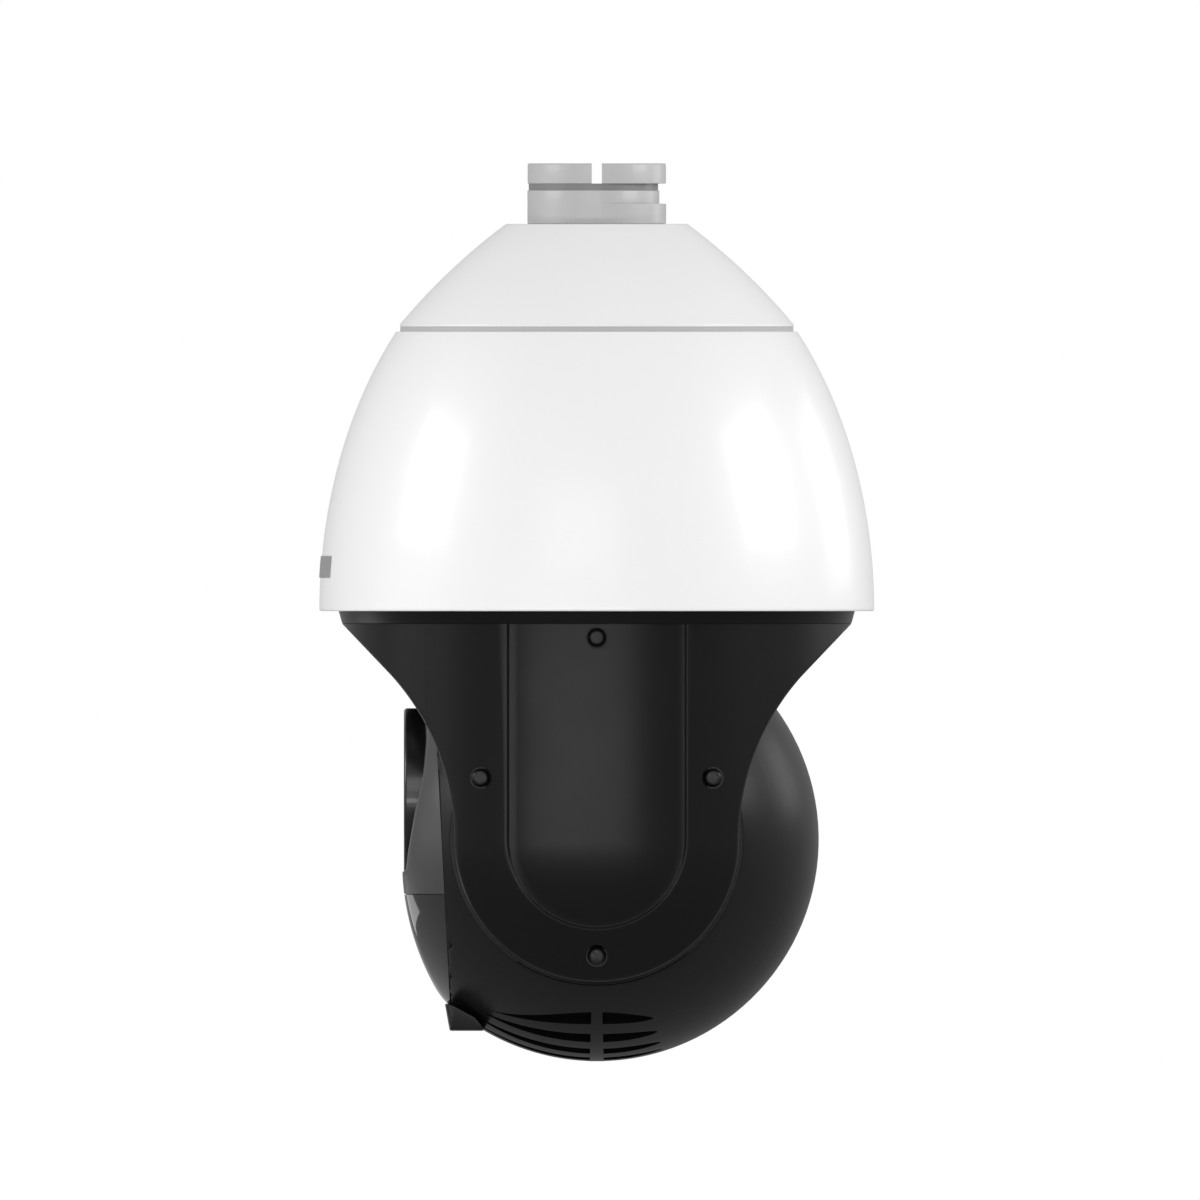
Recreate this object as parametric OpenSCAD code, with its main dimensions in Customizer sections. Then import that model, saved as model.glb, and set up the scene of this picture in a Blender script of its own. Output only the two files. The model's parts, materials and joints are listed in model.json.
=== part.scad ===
// Pan, tilt and zoom dome camera that hangs by its top collar.
// Z is up, the lens looks along -Y, and the tilt axis runs along X.
// The origin is the centre of the flat shoulder that the mounting collar stands on.

/* [Mount collar] */
// Outside diameter of the collar
collar_d = 55; // [48:0.5:66]
// Height of the collar above the shoulder
collar_h = 24; // [18:0.5:32]
// Height of each of the collar's two end bands
band_h = 8; // [5:0.5:8.5]
// Depth of the locking track behind the collar
track_depth = 3; // [1.5:0.5:4]
// Width of the wrench slots in the top band
slot_w = 4; // [3:0.5:6]
// Bore of the collar, for the cable
collar_bore_d = 32; // [24:1:36]
// Radial room that the collar flange needs under the cap
flange_w = 6; // [4:0.5:9]

/* [Dome housing] */
// Height of the dome from its rim to the cap seam
dome_h = 111.7; // [90:0.1:140]
// Height at which the dome's ellipse would close
dome_close_h = 160.4; // [150:0.1:200]
// Height of the cap above the seam
cap_h = 41.8; // [34:0.1:52]
// Radius of the flat shoulder on the cap
shoulder_r = 36; // [35:0.5:44]
// Outward bulge of the cap's cone
cap_bulge = 1.8; // [0:0.1:4]
// Wall of the dome and the cap
shell_wall = 3; // [2:0.25:4]
// Gap between the turntable and the dome wall
rim_gap = 4.7; // [3:0.1:8]
// Height of the open seam between cap and dome
seam_h = 1.8; // [1:0.1:3]
// Height of the blank badge
badge_h = 8.7; // [5:0.1:12]
// Half of the angle that the badge covers
badge_angle = 15.6; // [8:0.1:24]

/* [Head] */
// Diameter of the tilting ball
ball_d = 176; // [146:1:214]
// Width of the ball between its flat sides
head_w = 132; // [110:1:150]
// Wall of the ball
head_wall = 3; // [2:0.25:4]
// How far the lens boss stands in front of the tilt axis
boss_f = 76.5; // [70:0.1:80]
// Diameter of the lens boss
boss_d = 73; // [60:0.5:80]
// Height of the lens axis above the tilt axis
lens_z = 15.5; // [12:0.5:20]
// Gap between the ball and the hood over it
head_gap = 7; // [4:0.5:10]
// Number of cooling grooves under the ball
groove_n = 9; // [3:2:9]
// Spacing of the cooling grooves
groove_pitch = 13; // [10:0.5:14]
// Width of each cooling groove
groove_w = 6.5; // [3:0.5:8]

/* [Yoke] */
// Depth of each arm, along the tilt axis
arm_depth = 32; // [31:0.5:44]
// Gap between the ball's flat side and the arm
arm_gap = 2; // [1:0.25:4]
// Radius of the arm's round end
arm_end_r = 56.5; // [50:0.5:66]
// Radius of the flare from the arm into the hood
flare_r = 97; // [80:1:110]
// Angle that the flare turns through
flare_angle = 42; // [36:1:46]
// Wall of the hood and the arm covers
yoke_wall = 3; // [2:0.25:3.5]
// Half of the width of the sunk panel on each arm
panel_r = 36; // [30:0.5:40]
// Depth of the sunk panel
panel_depth = 1.5; // [0.5:0.25:2.5]
// Diameter of the screw heads on the arms
screw_head_d = 7.4; // [6:0.1:8]

/* [Drives and lens] */
// Outside diameter of the trunnion shafts
trunnion_d = 20; // [14:0.5:24]
// Outside diameter of the hollow pan shaft
pan_shaft_d = 44; // [36:0.5:52]
// Diameter of the large pan pulley
pan_pulley_d = 80; // [70:1:92]
// Diameter of the large tilt pulley
tilt_pulley_d = 48; // [40:0.5:54]
// Diameter of both motor pulleys
drive_pulley_d = 16; // [12:0.5:20]
// Thickness of both belts
belt_t = 1.4; // [1:0.1:2]
// Outside diameter of the zoom lens barrel
barrel_d = 52; // [44:0.5:58]
// Diameter of the lens groups inside the barrel
group_d = 32; // [26:0.5:34]

/* [Hidden] */
$fn = 96;
eps = 0.01;          // overshoot of cuts past a face
big = 400;           // larger than the whole camera
fit = 0.2;           // radial room between static pieces
run = 0.05;          // radial room of a running fit
clear = 0.5;         // room between pieces that move past each other

// Shared radii
collar_r = collar_d / 2;
bore_r = collar_bore_d / 2;
gland_r = bore_r - 1.5;
neck_r = collar_r - 0.5;
undercut_h = 0.1;
ball_r = ball_d / 2;
flat_x = head_w / 2;
arm_in = flat_x + arm_gap;
arm_out = arm_in + arm_depth;
ring_r = arm_out + 2.3;
ring_foot_r = arm_out + 0.9;
dome_r = ring_r + rim_gap + shell_wall;

// Heights above the tilt axis
shroud_r = ball_r + head_gap;
shroud_wall = 3;
plate_t = 3;
plate_z = shroud_r + shroud_wall + 1;
plate_top = plate_z + plate_t;
skirt_h = 13.6;
ring_z = plate_z - skirt_h;
ring_h = 5;
rim_z = ring_z + ring_h + 0.1;
seam_z = rim_z + dome_h;
tilt_drop = seam_z + cap_h;

// The housing's base plate and the drive above it
base_z = plate_top + 2;
base_t = 3;
base_top = base_z + base_t;
bearing_h = 10;
pulley_z = base_top + bearing_h;
pulley_h = 8;
bracket_z = pulley_z + pulley_h + 6;
bracket_t = 3;
motor_w = 42;
motor_h = 34;
motor_y = pan_pulley_d / 2 + 22;
main_board_z = bracket_z + bracket_t + motor_h + 8;
board_t = 1.6;
power_board_z = max(main_board_z + 22, seam_z + 2);
seam_r = dome_r_at(seam_z);

// The tilt drive inside the left arm
split_x = arm_in + 6;
cover_gap = 0.1;
seal_w = 1;
wall_x = arm_in + yoke_wall;
belt_x = wall_x + 14;
belt_w = 5;
tilt_motor_z = tilt_pulley_d / 2 + 25;
tilt_motor_d = 34;
tilt_motor_h = 12.5;

// Heights and depths of the head's front, which grow with the ball
seam_lean = 2.9;
ball_share = ball_r / 88;
head_seam_f = 61.2 * ball_share;
face_top_f = 68.5 * ball_share;
boss_r = boss_d / 2;
boss_top_z = lens_z + boss_r;
boss_low_z = lens_z - boss_r;
glass_r = boss_r - 5.5;
ir_arc_r = 103 * ball_share;
ir_low_z = -64.5 * ball_share;
ir_low_f = 60.5 * ball_share;
ir_top_z = boss_low_z - 0.6;
window_gap = 0.3;

function dome_r_at(z) = dome_r * sqrt(1 - pow((z - rim_z) / dome_close_h, 2));
function dome_in_r(z) = dome_r_at(z) - shell_wall - 1;
function arm_face_x(y, z) = sqrt(arm_out * arm_out - y * y - (z < 0 ? z * z : 0));

// Places children in the frame of the tilt axis
module at_tilt() {
    translate([0, 0, -tilt_drop]) children();
}
// Extrudes a side outline, drawn in Y and Z, from x0 to x1
module along_x(x0, x1) {
    translate([x0, 0, 0]) rotate([90, 0, 90]) linear_extrude(x1 - x0) children();
}
// Extrudes a front outline, drawn in X and Z, from y0 to y1
module along_y(y0, y1) {
    translate([0, y1, 0]) rotate([90, 0, 0]) linear_extrude(y1 - y0) children();
}
// Solid cylinder along X from x0 to x1 at y and z
module rod_x(r, x0, x1, y = 0, z = 0) {
    translate([x0, y, z]) rotate([0, 90, 0]) cylinder(r = r, h = x1 - x0);
}
// Solid cylinder along Y from y0 to y1 at x and z
module rod_y(r, y0, y1, x = 0, z = 0) {
    translate([x, y1, z]) rotate([90, 0, 0]) cylinder(r = r, h = y1 - y0);
}
// Ring about Z from height z0 to z1
module ring_z_axis(r_out, r_in, z0, z1) {
    difference() {
        translate([0, 0, z0]) cylinder(r = r_out, h = z1 - z0);
        translate([0, 0, z0 - 1]) cylinder(r = r_in, h = z1 - z0 + 2);
    }
}
// Solid between two heights, wider than the camera
module slab_z(z0, z1) {
    translate([-big / 2, -big / 2, z0]) cube([big, big, z1 - z0]);
}
// Solid between two X planes, wider than the camera
module slab_x(x0, x1) {
    translate([x0, -big / 2, -big / 2]) cube([x1 - x0, big, big]);
}

// ---------------------------------------------------------------- housing

// Collar: two bands with a locking track between them at the rear, and a foot flange
module mount_collar() {
    line_h = 2.7;
    color("gainsboro")
    difference() {
        union() {
            translate([0, 0, undercut_h]) cylinder(r = collar_r, h = collar_h - undercut_h);
            translate([0, 0, -shell_wall - 4]) cylinder(r = collar_r + flange_w, h = 4);
            translate([0, 0, -shell_wall - eps]) cylinder(r = neck_r, h = shell_wall + undercut_h + 2 * eps);
        }
        translate([0, 0, -shell_wall - 5]) cylinder(r = gland_r, h = collar_h + shell_wall + 10);
        translate([0, 0, collar_h - 2 * band_h]) cylinder(r = bore_r, h = 2 * band_h + 1);
        // dark line all round under the top band
        ring_z_axis(collar_r + 1, collar_r - 0.5, collar_h - band_h - line_h, collar_h - band_h);
        // locking track, on the rear half only
        intersection() {
            ring_z_axis(collar_r + 1, collar_r - track_depth, band_h, collar_h - band_h);
            translate([-big / 2, 0, 0]) cube([big, big, collar_h]);
        }
        // wrench slots across the top band
        for (a = [0, 90])
            rotate([0, 0, a])
                translate([-big / 2, -slot_w / 2, collar_h - band_h]) cube([big, slot_w, band_h + 1]);
    }
}

// Rubber gland that the cable enters by
module cable_gland() {
    hole_r = 7;
    top = collar_h - 2 * band_h - 0.5;
    color("dimgray")
    difference() {
        union() {
            translate([0, 0, -shell_wall - 2]) cylinder(r = gland_r - fit, h = top - 3 + shell_wall + 2);
            translate([0, 0, top - 3 - eps]) cylinder(r1 = gland_r - 1.5, r2 = hole_r + 2, h = 3);
        }
        translate([0, 0, -shell_wall - 5]) cylinder(r = hole_r, h = 30);
        for (k = [1 : 2])
            ring_z_axis(gland_r + 1, gland_r - 1.2, top - 3 - 3 * k, top - 1.8 - 3 * k);
    }
}

// Outline of the cap, inset by the given wall; heights are from the origin
function cap_arc(inset) =
    let (r0 = shoulder_r - inset * 0.4, r1 = seam_r - inset,
         z0 = -inset, z1 = -cap_h + seam_h / 2)
    [for (i = [0 : 10])
        let (t = i / 10, s = 4 * t * (1 - t) * cap_bulge)
        [r0 + (r1 - r0) * t + s * 0.7, z0 + (z1 - z0) * t + s * 0.7]];

module top_cap() {
    color("white")
    difference() {
        rotate_extrude()
            polygon(concat([[0, 0]], cap_arc(0), [[0, -cap_h + seam_h / 2]]));
        rotate_extrude()
            polygon(concat([[0, -shell_wall]], cap_arc(shell_wall),
                [[seam_r - shell_wall, -cap_h], [0, -cap_h]]));
        translate([0, 0, -shell_wall - 1]) cylinder(r = collar_r + fit / 2, h = shell_wall + 2);
    }
}

// Rubber ring at the bottom of the cap seam
module cap_seal() {
    color("silver")
    translate([0, 0, -cap_h - seam_h / 2])
        ring_z_axis(seam_r - 1, seam_r - shell_wall, 0, seam_h);
}

// Points down one side of the dome, from the seam to the rim
function dome_side(inset, z0, z1, n) =
    [for (i = [0 : n]) let (z = z1 + (z0 - z1) * i / n) [dome_r_at(z) - inset, z]];

module main_housing() {
    seam_foot = seam_z - seam_h / 2;
    ledge_h = 5;
    color("white")
    at_tilt()
    difference() {
        union() {
            difference() {
                rotate_extrude()
                    polygon(concat([[0, seam_foot]], dome_side(0, rim_z, seam_foot, 24), [[0, rim_z]]));
                rotate_extrude()
                    polygon(concat([[0, seam_foot + 1], [dome_r_at(seam_foot) - shell_wall, seam_foot + 1]],
                        dome_side(shell_wall, rim_z, seam_foot, 24),
                        [[dome_r - shell_wall, rim_z - 1], [0, rim_z - 1]]));
            }
            // ledge that the base plate is screwed to
            ring_z_axis(dome_r_at(base_top + ledge_h) - shell_wall / 2, dome_in_r(base_top) - 8,
                base_top, base_top + ledge_h);
        }
        base_screw_places() translate([0, 0, base_top - 1]) cylinder(r = 1.25, h = ledge_h + 2);
        badge_pocket(0);
    }
}

// Shallow field on the front of the dome that holds the blank badge
module badge_pocket(room) {
    badge_z = rim_z + 13.2;
    badge_deep = 1;
    rotate([0, 0, -90 - badge_angle - room])
        rotate_extrude(angle = 2 * (badge_angle + room))
            polygon([[dome_r_at(badge_z) - badge_deep, badge_z - room],
                [dome_r + 2, badge_z - room],
                [dome_r + 2, badge_z + badge_h + room],
                [dome_r_at(badge_z + badge_h) - badge_deep, badge_z + badge_h + room]]);
}

module blank_badge() {
    color("darkgray")
    at_tilt()
    intersection() {
        badge_pocket(-0.05);
        rotate_extrude()
            polygon(concat([[0, rim_z + 30]], dome_side(0.2, rim_z, rim_z + 30, 6), [[0, rim_z]]));
    }
}

module base_screw_places() {
    for (a = [0 : 60 : 359])
        rotate([0, 0, a + 15]) translate([dome_in_r(base_top) - 4.5, 0, 0]) children();
}

// Plate that closes the dome from below and carries the pan drive
module base_plate() {
    color("silver")
    at_tilt()
    difference() {
        union() {
            translate([0, 0, base_z]) cylinder(r = dome_in_r(base_top), h = base_t);
            translate([0, 0, base_top - eps]) cylinder(r = pan_bearing_r() + 4, h = bearing_h - base_t);
        }
        translate([0, 0, base_z - 1]) cylinder(r = pan_bearing_r(), h = bearing_h + 2);
        base_screw_places() translate([0, 0, base_z - 1]) cylinder(r = 1.7, h = base_t + 2);
    }
}

module base_screws() {
    color("gray")
    at_tilt()
    base_screw_places() {
        difference() {
            translate([0, 0, base_z - 1.4]) cylinder(r = 2.8, h = 1.4);
            translate([0, 0, base_z - 1.5]) cross_recess(2.8, 1);
        }
        translate([0, 0, base_z - eps]) cylinder(r = 1.2, h = base_t + 4);
    }
}

// Cross-shaped driver recess, opening downwards from its own base
module cross_recess(r, deep) {
    for (a = [0, 90])
        rotate([0, 0, a]) translate([-r * 0.6, -r * 0.13, 0]) cube([r * 1.2, r * 0.26, deep]);
}

// Radii of the pan bearing, from the shaft outwards
function pan_bearing_r() = pan_shaft_d / 2 + 12;
ball_track_r = pan_shaft_d / 2 + 6;
bearing_ball_r = 2.4;
race_w = 4.5;

module pan_race(r_out, r_in) {
    difference() {
        ring_z_axis(r_out, r_in, base_z, base_z + bearing_h);
        translate([0, 0, base_z + bearing_h / 2])
            rotate_extrude() translate([ball_track_r, 0]) circle(r = bearing_ball_r + 0.3);
    }
}
module pan_bearing_outer() {
    color("lightgray") at_tilt() pan_race(pan_bearing_r(), pan_bearing_r() - race_w);
}
module pan_bearing_inner() {
    color("lightgray") at_tilt() pan_race(pan_shaft_d / 2 + race_w, pan_shaft_d / 2);
}
// Balls joined by the thin cage that spaces them
module pan_bearing_balls() {
    ball_n = 14;
    color("silver")
    at_tilt()
    translate([0, 0, base_z + bearing_h / 2]) {
        for (i = [0 : ball_n - 1])
            rotate([0, 0, i * 360 / ball_n]) translate([ball_track_r, 0, 0]) sphere(r = bearing_ball_r);
        ring_z_axis(ball_track_r + 0.8, ball_track_r - 0.8, -0.8, 0.8);
    }
}

// Plate on four legs that holds the pan motor and the slip ring above the pulley
leg_places = [[-26, motor_y + 20], [26, motor_y + 20],
    [-pan_pulley_d / 2 - 10, -6], [pan_pulley_d / 2 + 10, -6]];
stator_r = 11.5;
module motor_bracket() {
    leg_r = 4;
    color("slategray")
    at_tilt()
    difference() {
        union() {
            translate([0, 0, bracket_z]) linear_extrude(bracket_t)
                hull() for (p = leg_places) translate(p) circle(r = leg_r + 2, $fn = 32);
            for (p = leg_places)
                translate([p[0], p[1], base_top]) cylinder(r = leg_r, h = bracket_z - base_top + eps);
        }
        translate([0, 0, bracket_z - 1]) cylinder(r = stator_r + fit, h = bracket_t + 2);
        translate([0, motor_y, bracket_z - 1]) cylinder(r = 11.2, h = bracket_t + 2);
    }
}

module pan_motor() {
    color("dimgray")
    at_tilt()
    translate([0, motor_y, bracket_z + bracket_t]) {
        difference() {
            union() {
                translate([-motor_w / 2, -motor_w / 2, 0]) cube([motor_w, motor_w, motor_h]);
                translate([0, 0, -2]) cylinder(r = 11, h = 2 + eps);
            }
            for (a = [45 : 90 : 359])
                rotate([0, 0, a]) translate([motor_w / 2 * 1.414, 0, -1])
                    rotate([0, 0, 45]) translate([-2, -2, 0]) cube([4, 4, motor_h + 2]);
            translate([0, 0, -3]) cylinder(r = 3, h = 20);
        }
    }
}

// Outline of a belt round two pulleys, the second one dist away along Y
module belt_outline(r_large, r_small, dist, grow) {
    hull() {
        circle(r = r_large + grow, $fn = 72);
        translate([0, dist]) circle(r = r_small + grow, $fn = 48);
    }
}
module belt_loop(r_large, r_small, dist) {
    difference() {
        belt_outline(r_large, r_small, dist, 0.4 + belt_t);
        belt_outline(r_large, r_small, dist, 0.4);
    }
}
module pan_belt() {
    color("black")
    at_tilt()
    translate([0, 0, pulley_z + 1.5]) linear_extrude(pulley_h - 3)
        belt_loop(pan_pulley_d / 2, drive_pulley_d / 2, motor_y);
}

// Toothed pulley outline
module toothed(r, teeth) {
    difference() {
        circle(r = r);
        for (i = [0 : teeth - 1])
            rotate(i * 360 / teeth) translate([r, 0]) square([1.6, r * 3 / teeth], center = true);
    }
}

module slip_ring_stator() {
    color("darkslategray")
    at_tilt()
    difference() {
        union() {
            translate([0, 0, bracket_z - 3]) cylinder(r = stator_r, h = 34);
            translate([0, 0, bracket_z + bracket_t]) cylinder(r = stator_r + 5, h = 2.5);
        }
        for (k = [0 : 4])
            ring_z_axis(stator_r + 1, stator_r - 0.6, bracket_z + 10 + 4 * k, bracket_z + 11.2 + 4 * k);
    }
}

// Hexagonal pillars under the main board and the power board
pillar_r = 3;
pillar_angles = [-25, 25, 155, 205];
function main_board_r() = dome_in_r(main_board_z + 12) - 4;
function power_board_r() = seam_r - shell_wall - 14;
module board_standoffs() {
    color("goldenrod")
    at_tilt()
    for (a = pillar_angles) {
        rotate([0, 0, a]) translate([main_board_r() - 6, 0, base_top])
            cylinder(r = pillar_r, h = main_board_z - base_top, $fn = 6);
        rotate([0, 0, a]) translate([power_board_r() - 6, 0, main_board_z + board_t])
            cylinder(r = pillar_r, h = power_board_z - main_board_z - board_t, $fn = 6);
    }
}
module main_board() {
    color("darkgreen")
    at_tilt()
    translate([0, 0, main_board_z]) {
        cylinder(r = main_board_r(), h = board_t);
        translate([-18, -18, board_t - eps]) cube([36, 36, 6]);
        for (s = [-1, 1])
            translate([s * 30 - 6, -42, board_t - eps]) cube([12, 10, 9]);
    }
}
module power_board() {
    color("darkolivegreen")
    at_tilt()
    translate([0, 0, power_board_z]) {
        cylinder(r = power_board_r(), h = board_t);
        translate([-22, -16, board_t - eps]) cube([26, 24, 14]);
        for (y = [-12, 4, 20])
            translate([18, y, board_t - eps]) cylinder(r = 5, h = 12);
    }
}

// ---------------------------------------------------------------- yoke

// Dish that turns on the pan bearing; its skirt shows as a ring under the dome's rim
module turntable() {
    skirt_r = ring_foot_r - yoke_wall - 1;
    color("#222222")
    at_tilt()
    difference() {
        rotate_extrude()
            polygon([[skirt_r, ring_z], [ring_foot_r, ring_z], [ring_r, ring_z + ring_h],
                [ring_r, plate_top], [0, plate_top], [0, plate_z], [skirt_r, plate_z]]);
        translate([0, 0, plate_z - 1]) cylinder(r = pan_shaft_d / 2 - 7, h = plate_t + 2);
    }
}

// Side outline of the arms and the hood, inset by the given wall
module flare_side(inset) {
    r = flare_r + inset;
    end_r = arm_end_r - inset;
    steps = 10;
    arc = [for (i = [0 : steps])
        let (a = flare_angle * i / steps)
        [arm_end_r + flare_r - r * cos(a), r * sin(a)]];
    side = concat(arc, [[ring_foot_r - inset * 1.35, ring_z]]);
    circle(r = end_r);
    polygon(concat([[0, 0]], side, [for (i = [len(side) - 1 : -1 : 0]) [-side[i][0], side[i][1]]]));
}

// Turned outer envelope of the arms: a cylinder on a hemisphere, inset by the given wall
module envelope(inset) {
    r = arm_out - inset;
    steps = 10;
    rotate_extrude()
        polygon(concat([[0, ring_z], [ring_foot_r - inset, ring_z]],
            [for (i = [0 : steps]) [r * cos(90 * i / steps), -r * sin(90 * i / steps)]]));
}

// Body of the yoke between two X planes, inset by the given walls
module yoke_body(x0, x1, side_inset, face_inset) {
    intersection() {
        along_x(x0, x1) flare_side(side_inset);
        envelope(face_inset);
    }
}

// Screw places on one arm, as Y and Z
arm_screw_at = [[0, ring_z - 5.4], [-46, 24.4], [46, 24.4], [0, -46.2]];
screw_r = screw_head_d / 2;

// Hood over the ball with the two inner arm walls
module yoke_hood() {
    color("#1c1c1c")
    at_tilt()
    difference() {
        yoke_body(-split_x, split_x, 0, 0);
        // room for the ball
        intersection() {
            sphere(r = shroud_r);
            slab_x(-arm_in, arm_in);
        }
        // hollow between the skin and the shroud
        yoke_body(-arm_in, arm_in, yoke_wall, yoke_wall);
        intersection() {
            translate([0, 0, ring_z - 8]) cylinder(r = ring_foot_r - yoke_wall - 5, h = 20);
            slab_x(-arm_in, arm_in);
        }
        for (s = [0, 1])
            mirror([s, 0, 0]) {
                // open tray of the arm
                difference() {
                    yoke_body(wall_x, split_x, yoke_wall, yoke_wall);
                    for (p = arm_screw_at)
                        rod_x(5, wall_x - 1, split_x, p[0], p[1]);
                }
                rod_x(bearing_r(), arm_in - 1, split_x + 1);
                for (p = arm_screw_at)
                    rod_x(1.6, arm_in + 1.5, split_x + 1, p[0], p[1]);
                // cable way from the turntable into the arm
                translate([arm_in - 1, -9, ring_z - 22]) cube([yoke_wall + 2, 18, 9]);
            }
    }
}

// Inner bowl that closes the hood over the ball
module head_shroud() {
    color("#262626")
    at_tilt()
    difference() {
        intersection() {
            sphere(r = shroud_r + shroud_wall);
            slab_x(-arm_in + fit, arm_in - fit);
            union() {
                yoke_body(-arm_in, arm_in, yoke_wall + fit, yoke_wall + fit);
                slab_z(ring_z - eps, plate_z);
            }
            slab_z(ring_z - 26, plate_z);
        }
        sphere(r = shroud_r);
    }
}

module pan_shaft() {
    flange_h = base_z - plate_top;
    color("silver")
    at_tilt()
    difference() {
        union() {
            translate([0, 0, plate_top]) cylinder(r = pan_shaft_d / 2, h = bracket_z - 2 - plate_top);
            translate([0, 0, plate_top]) cylinder(r = pan_shaft_d / 2 + 3, h = flange_h);
        }
        translate([0, 0, plate_top - 1]) cylinder(r = pan_shaft_d / 2 - 7, h = 60);
    }
}
module pan_pulley() {
    color("gainsboro")
    at_tilt()
    difference() {
        union() {
            translate([0, 0, pulley_z + 1]) linear_extrude(pulley_h - 2) toothed(pan_pulley_d / 2, 48);
            translate([0, 0, pulley_z]) cylinder(r = pan_pulley_d / 2 - 4, h = pulley_h);
        }
        translate([0, 0, pulley_z - 1]) cylinder(r = pan_shaft_d / 2, h = pulley_h + 2);
        for (a = [0 : 60 : 359])
            rotate([0, 0, a]) translate([(pan_shaft_d / 2 + pan_pulley_d / 2) / 2 - 1, 0, pulley_z - 1])
                cylinder(r = 4, h = pulley_h + 2);
    }
}
module slip_ring_rotor() {
    color("goldenrod")
    at_tilt() {
        translate([0, 0, plate_top + 4]) cylinder(r = 6, h = bracket_z - plate_top - 8);
        translate([0, 0, bracket_z - 9]) cylinder(r = pan_shaft_d / 2 - 7, h = 4);
    }
}

// Outer shell of one arm, with the sunk panel and four screw pockets
module arm_cover(side) {
    inner_x = split_x + cover_gap;
    pocket_r = screw_r + 0.65;
    cut_deep = panel_depth + yoke_wall;
    color("#202020")
    at_tilt()
    mirror([side, 0, 0])
    difference() {
        union() {
            difference() {
                yoke_body(inner_x, big, 0, 0);
                intersection() {
                    yoke_body(inner_x - 1, big, yoke_wall, cut_deep);
                    slab_z(-big, ring_z - yoke_wall);
                }
            }
            for (p = arm_screw_at)
                intersection() {
                    rod_x(pocket_r + 1.8, inner_x, big, p[0], p[1]);
                    yoke_body(inner_x, big, 0.3, panel_depth + 0.3);
                }
        }
        // sunk panel
        difference() {
            along_x(inner_x, big) {
                circle(r = panel_r);
                translate([-panel_r, 0]) square([2 * panel_r, big / 4]);
            }
            envelope(panel_depth);
        }
        for (p = arm_screw_at) {
            rod_x(pocket_r, pocket_floor_x(p), big, p[0], p[1]);
            rod_x(1.7, inner_x - 1, big, p[0], p[1]);
        }
    }
}
function in_panel(p) = abs(p[0]) < panel_r && p[1] > 0;
function pocket_floor_x(p) = arm_face_x(p[0], p[1]) - (in_panel(p) ? panel_depth : 0) - 3.2;
module arm_cover_left() {
    arm_cover(0);
}
module arm_cover_right() {
    arm_cover(1);
}
module arm_seals() {
    color("#101010")
    at_tilt()
    for (s = [0, 1])
        mirror([s, 0, 0])
            difference() {
                yoke_body(split_x - 1.5, split_x + 1.5, yoke_wall, yoke_wall + panel_depth);
                yoke_body(split_x - 2, split_x + 2, yoke_wall + seal_w, yoke_wall + panel_depth + seal_w);
                // stops under the cover's top wall
                slab_z(ring_z - yoke_wall - fit, big);
            }
}

// Pan-head screw along +X with its head's underside at x = 0
module arm_screw(shank) {
    rim_h = 1.8;
    chamfer = 0.8;
    difference() {
        union() {
            rod_x(screw_r, 0, rim_h);
            translate([rim_h - eps, 0, 0]) rotate([0, 90, 0])
                cylinder(r1 = screw_r, r2 = screw_r - chamfer, h = chamfer);
            rod_x(1.5, -shank, eps);
        }
        translate([rim_h - 0.4, 0, 0]) rotate([0, 90, 0]) cross_recess(screw_r, 3);
    }
}
module arm_screws() {
    color("#3a3a3a")
    at_tilt()
    for (s = [0, 1], p = arm_screw_at)
        mirror([s, 0, 0]) translate([pocket_floor_x(p), p[0], p[1]])
            arm_screw(pocket_floor_x(p) - arm_in - 2);
}

function bearing_r() = trunnion_d / 2 + 5;
module tilt_bearing(side) {
    color("lightgray")
    at_tilt()
    mirror([side, 0, 0])
    difference() {
        union() {
            rod_x(bearing_r(), arm_in + 0.3, split_x - 0.5);
            rod_x(bearing_r() + 3, split_x - 0.5 - eps, split_x + 1.5);
        }
        rod_x(trunnion_d / 2 + run, arm_in - 1, split_x + 3);
    }
}
module tilt_bearing_left() {
    tilt_bearing(0);
}
module tilt_bearing_right() {
    tilt_bearing(1);
}
module tilt_motor() {
    color("dimgray")
    at_tilt()
    difference() {
        union() {
            rod_x(tilt_motor_d / 2, wall_x, wall_x + tilt_motor_h, 0, tilt_motor_z);
            along_x(wall_x, wall_x + 2) translate([0, tilt_motor_z])
                for (a = [0, 90])
                    rotate(a + 45) square([tilt_motor_d + 9, 8], center = true);
        }
        rod_x(3, wall_x + 2, wall_x + 30, 0, tilt_motor_z);
    }
}
module tilt_belt() {
    color("black")
    at_tilt()
    along_x(belt_x + 0.5, belt_x + belt_w - 0.5)
        belt_loop(tilt_pulley_d / 2, drive_pulley_d / 2, tilt_motor_z);
}
module driver_board() {
    color("darkgreen")
    at_tilt() {
        translate([-wall_x - 5 - board_t, -26, 20]) cube([board_t, 52, 34]);
        translate([-wall_x - 9 - board_t, -12, 27]) cube([4 + eps, 24, 20]);
        for (y = [-22, 22], z = [24, 50])
            rod_x(2, -wall_x - 5, -wall_x, y, z);
    }
}

// Small pulleys on the motor shafts
module pan_drive_pulley() {
    color("gold")
    at_tilt()
    translate([0, motor_y, 0]) {
        translate([0, 0, pulley_z + 1]) linear_extrude(pulley_h - 2) toothed(drive_pulley_d / 2, 12);
        translate([0, 0, pulley_z + 1]) cylinder(r = 3 - run, h = bracket_z + bracket_t + 8 - pulley_z);
    }
}
module tilt_drive_pulley() {
    color("gold")
    at_tilt() {
        along_x(belt_x, belt_x + belt_w) translate([0, tilt_motor_z]) toothed(drive_pulley_d / 2, 12);
        rod_x(3 - run, wall_x + 3, belt_x + belt_w, 0, tilt_motor_z);
    }
}

// ---------------------------------------------------------------- head

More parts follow.
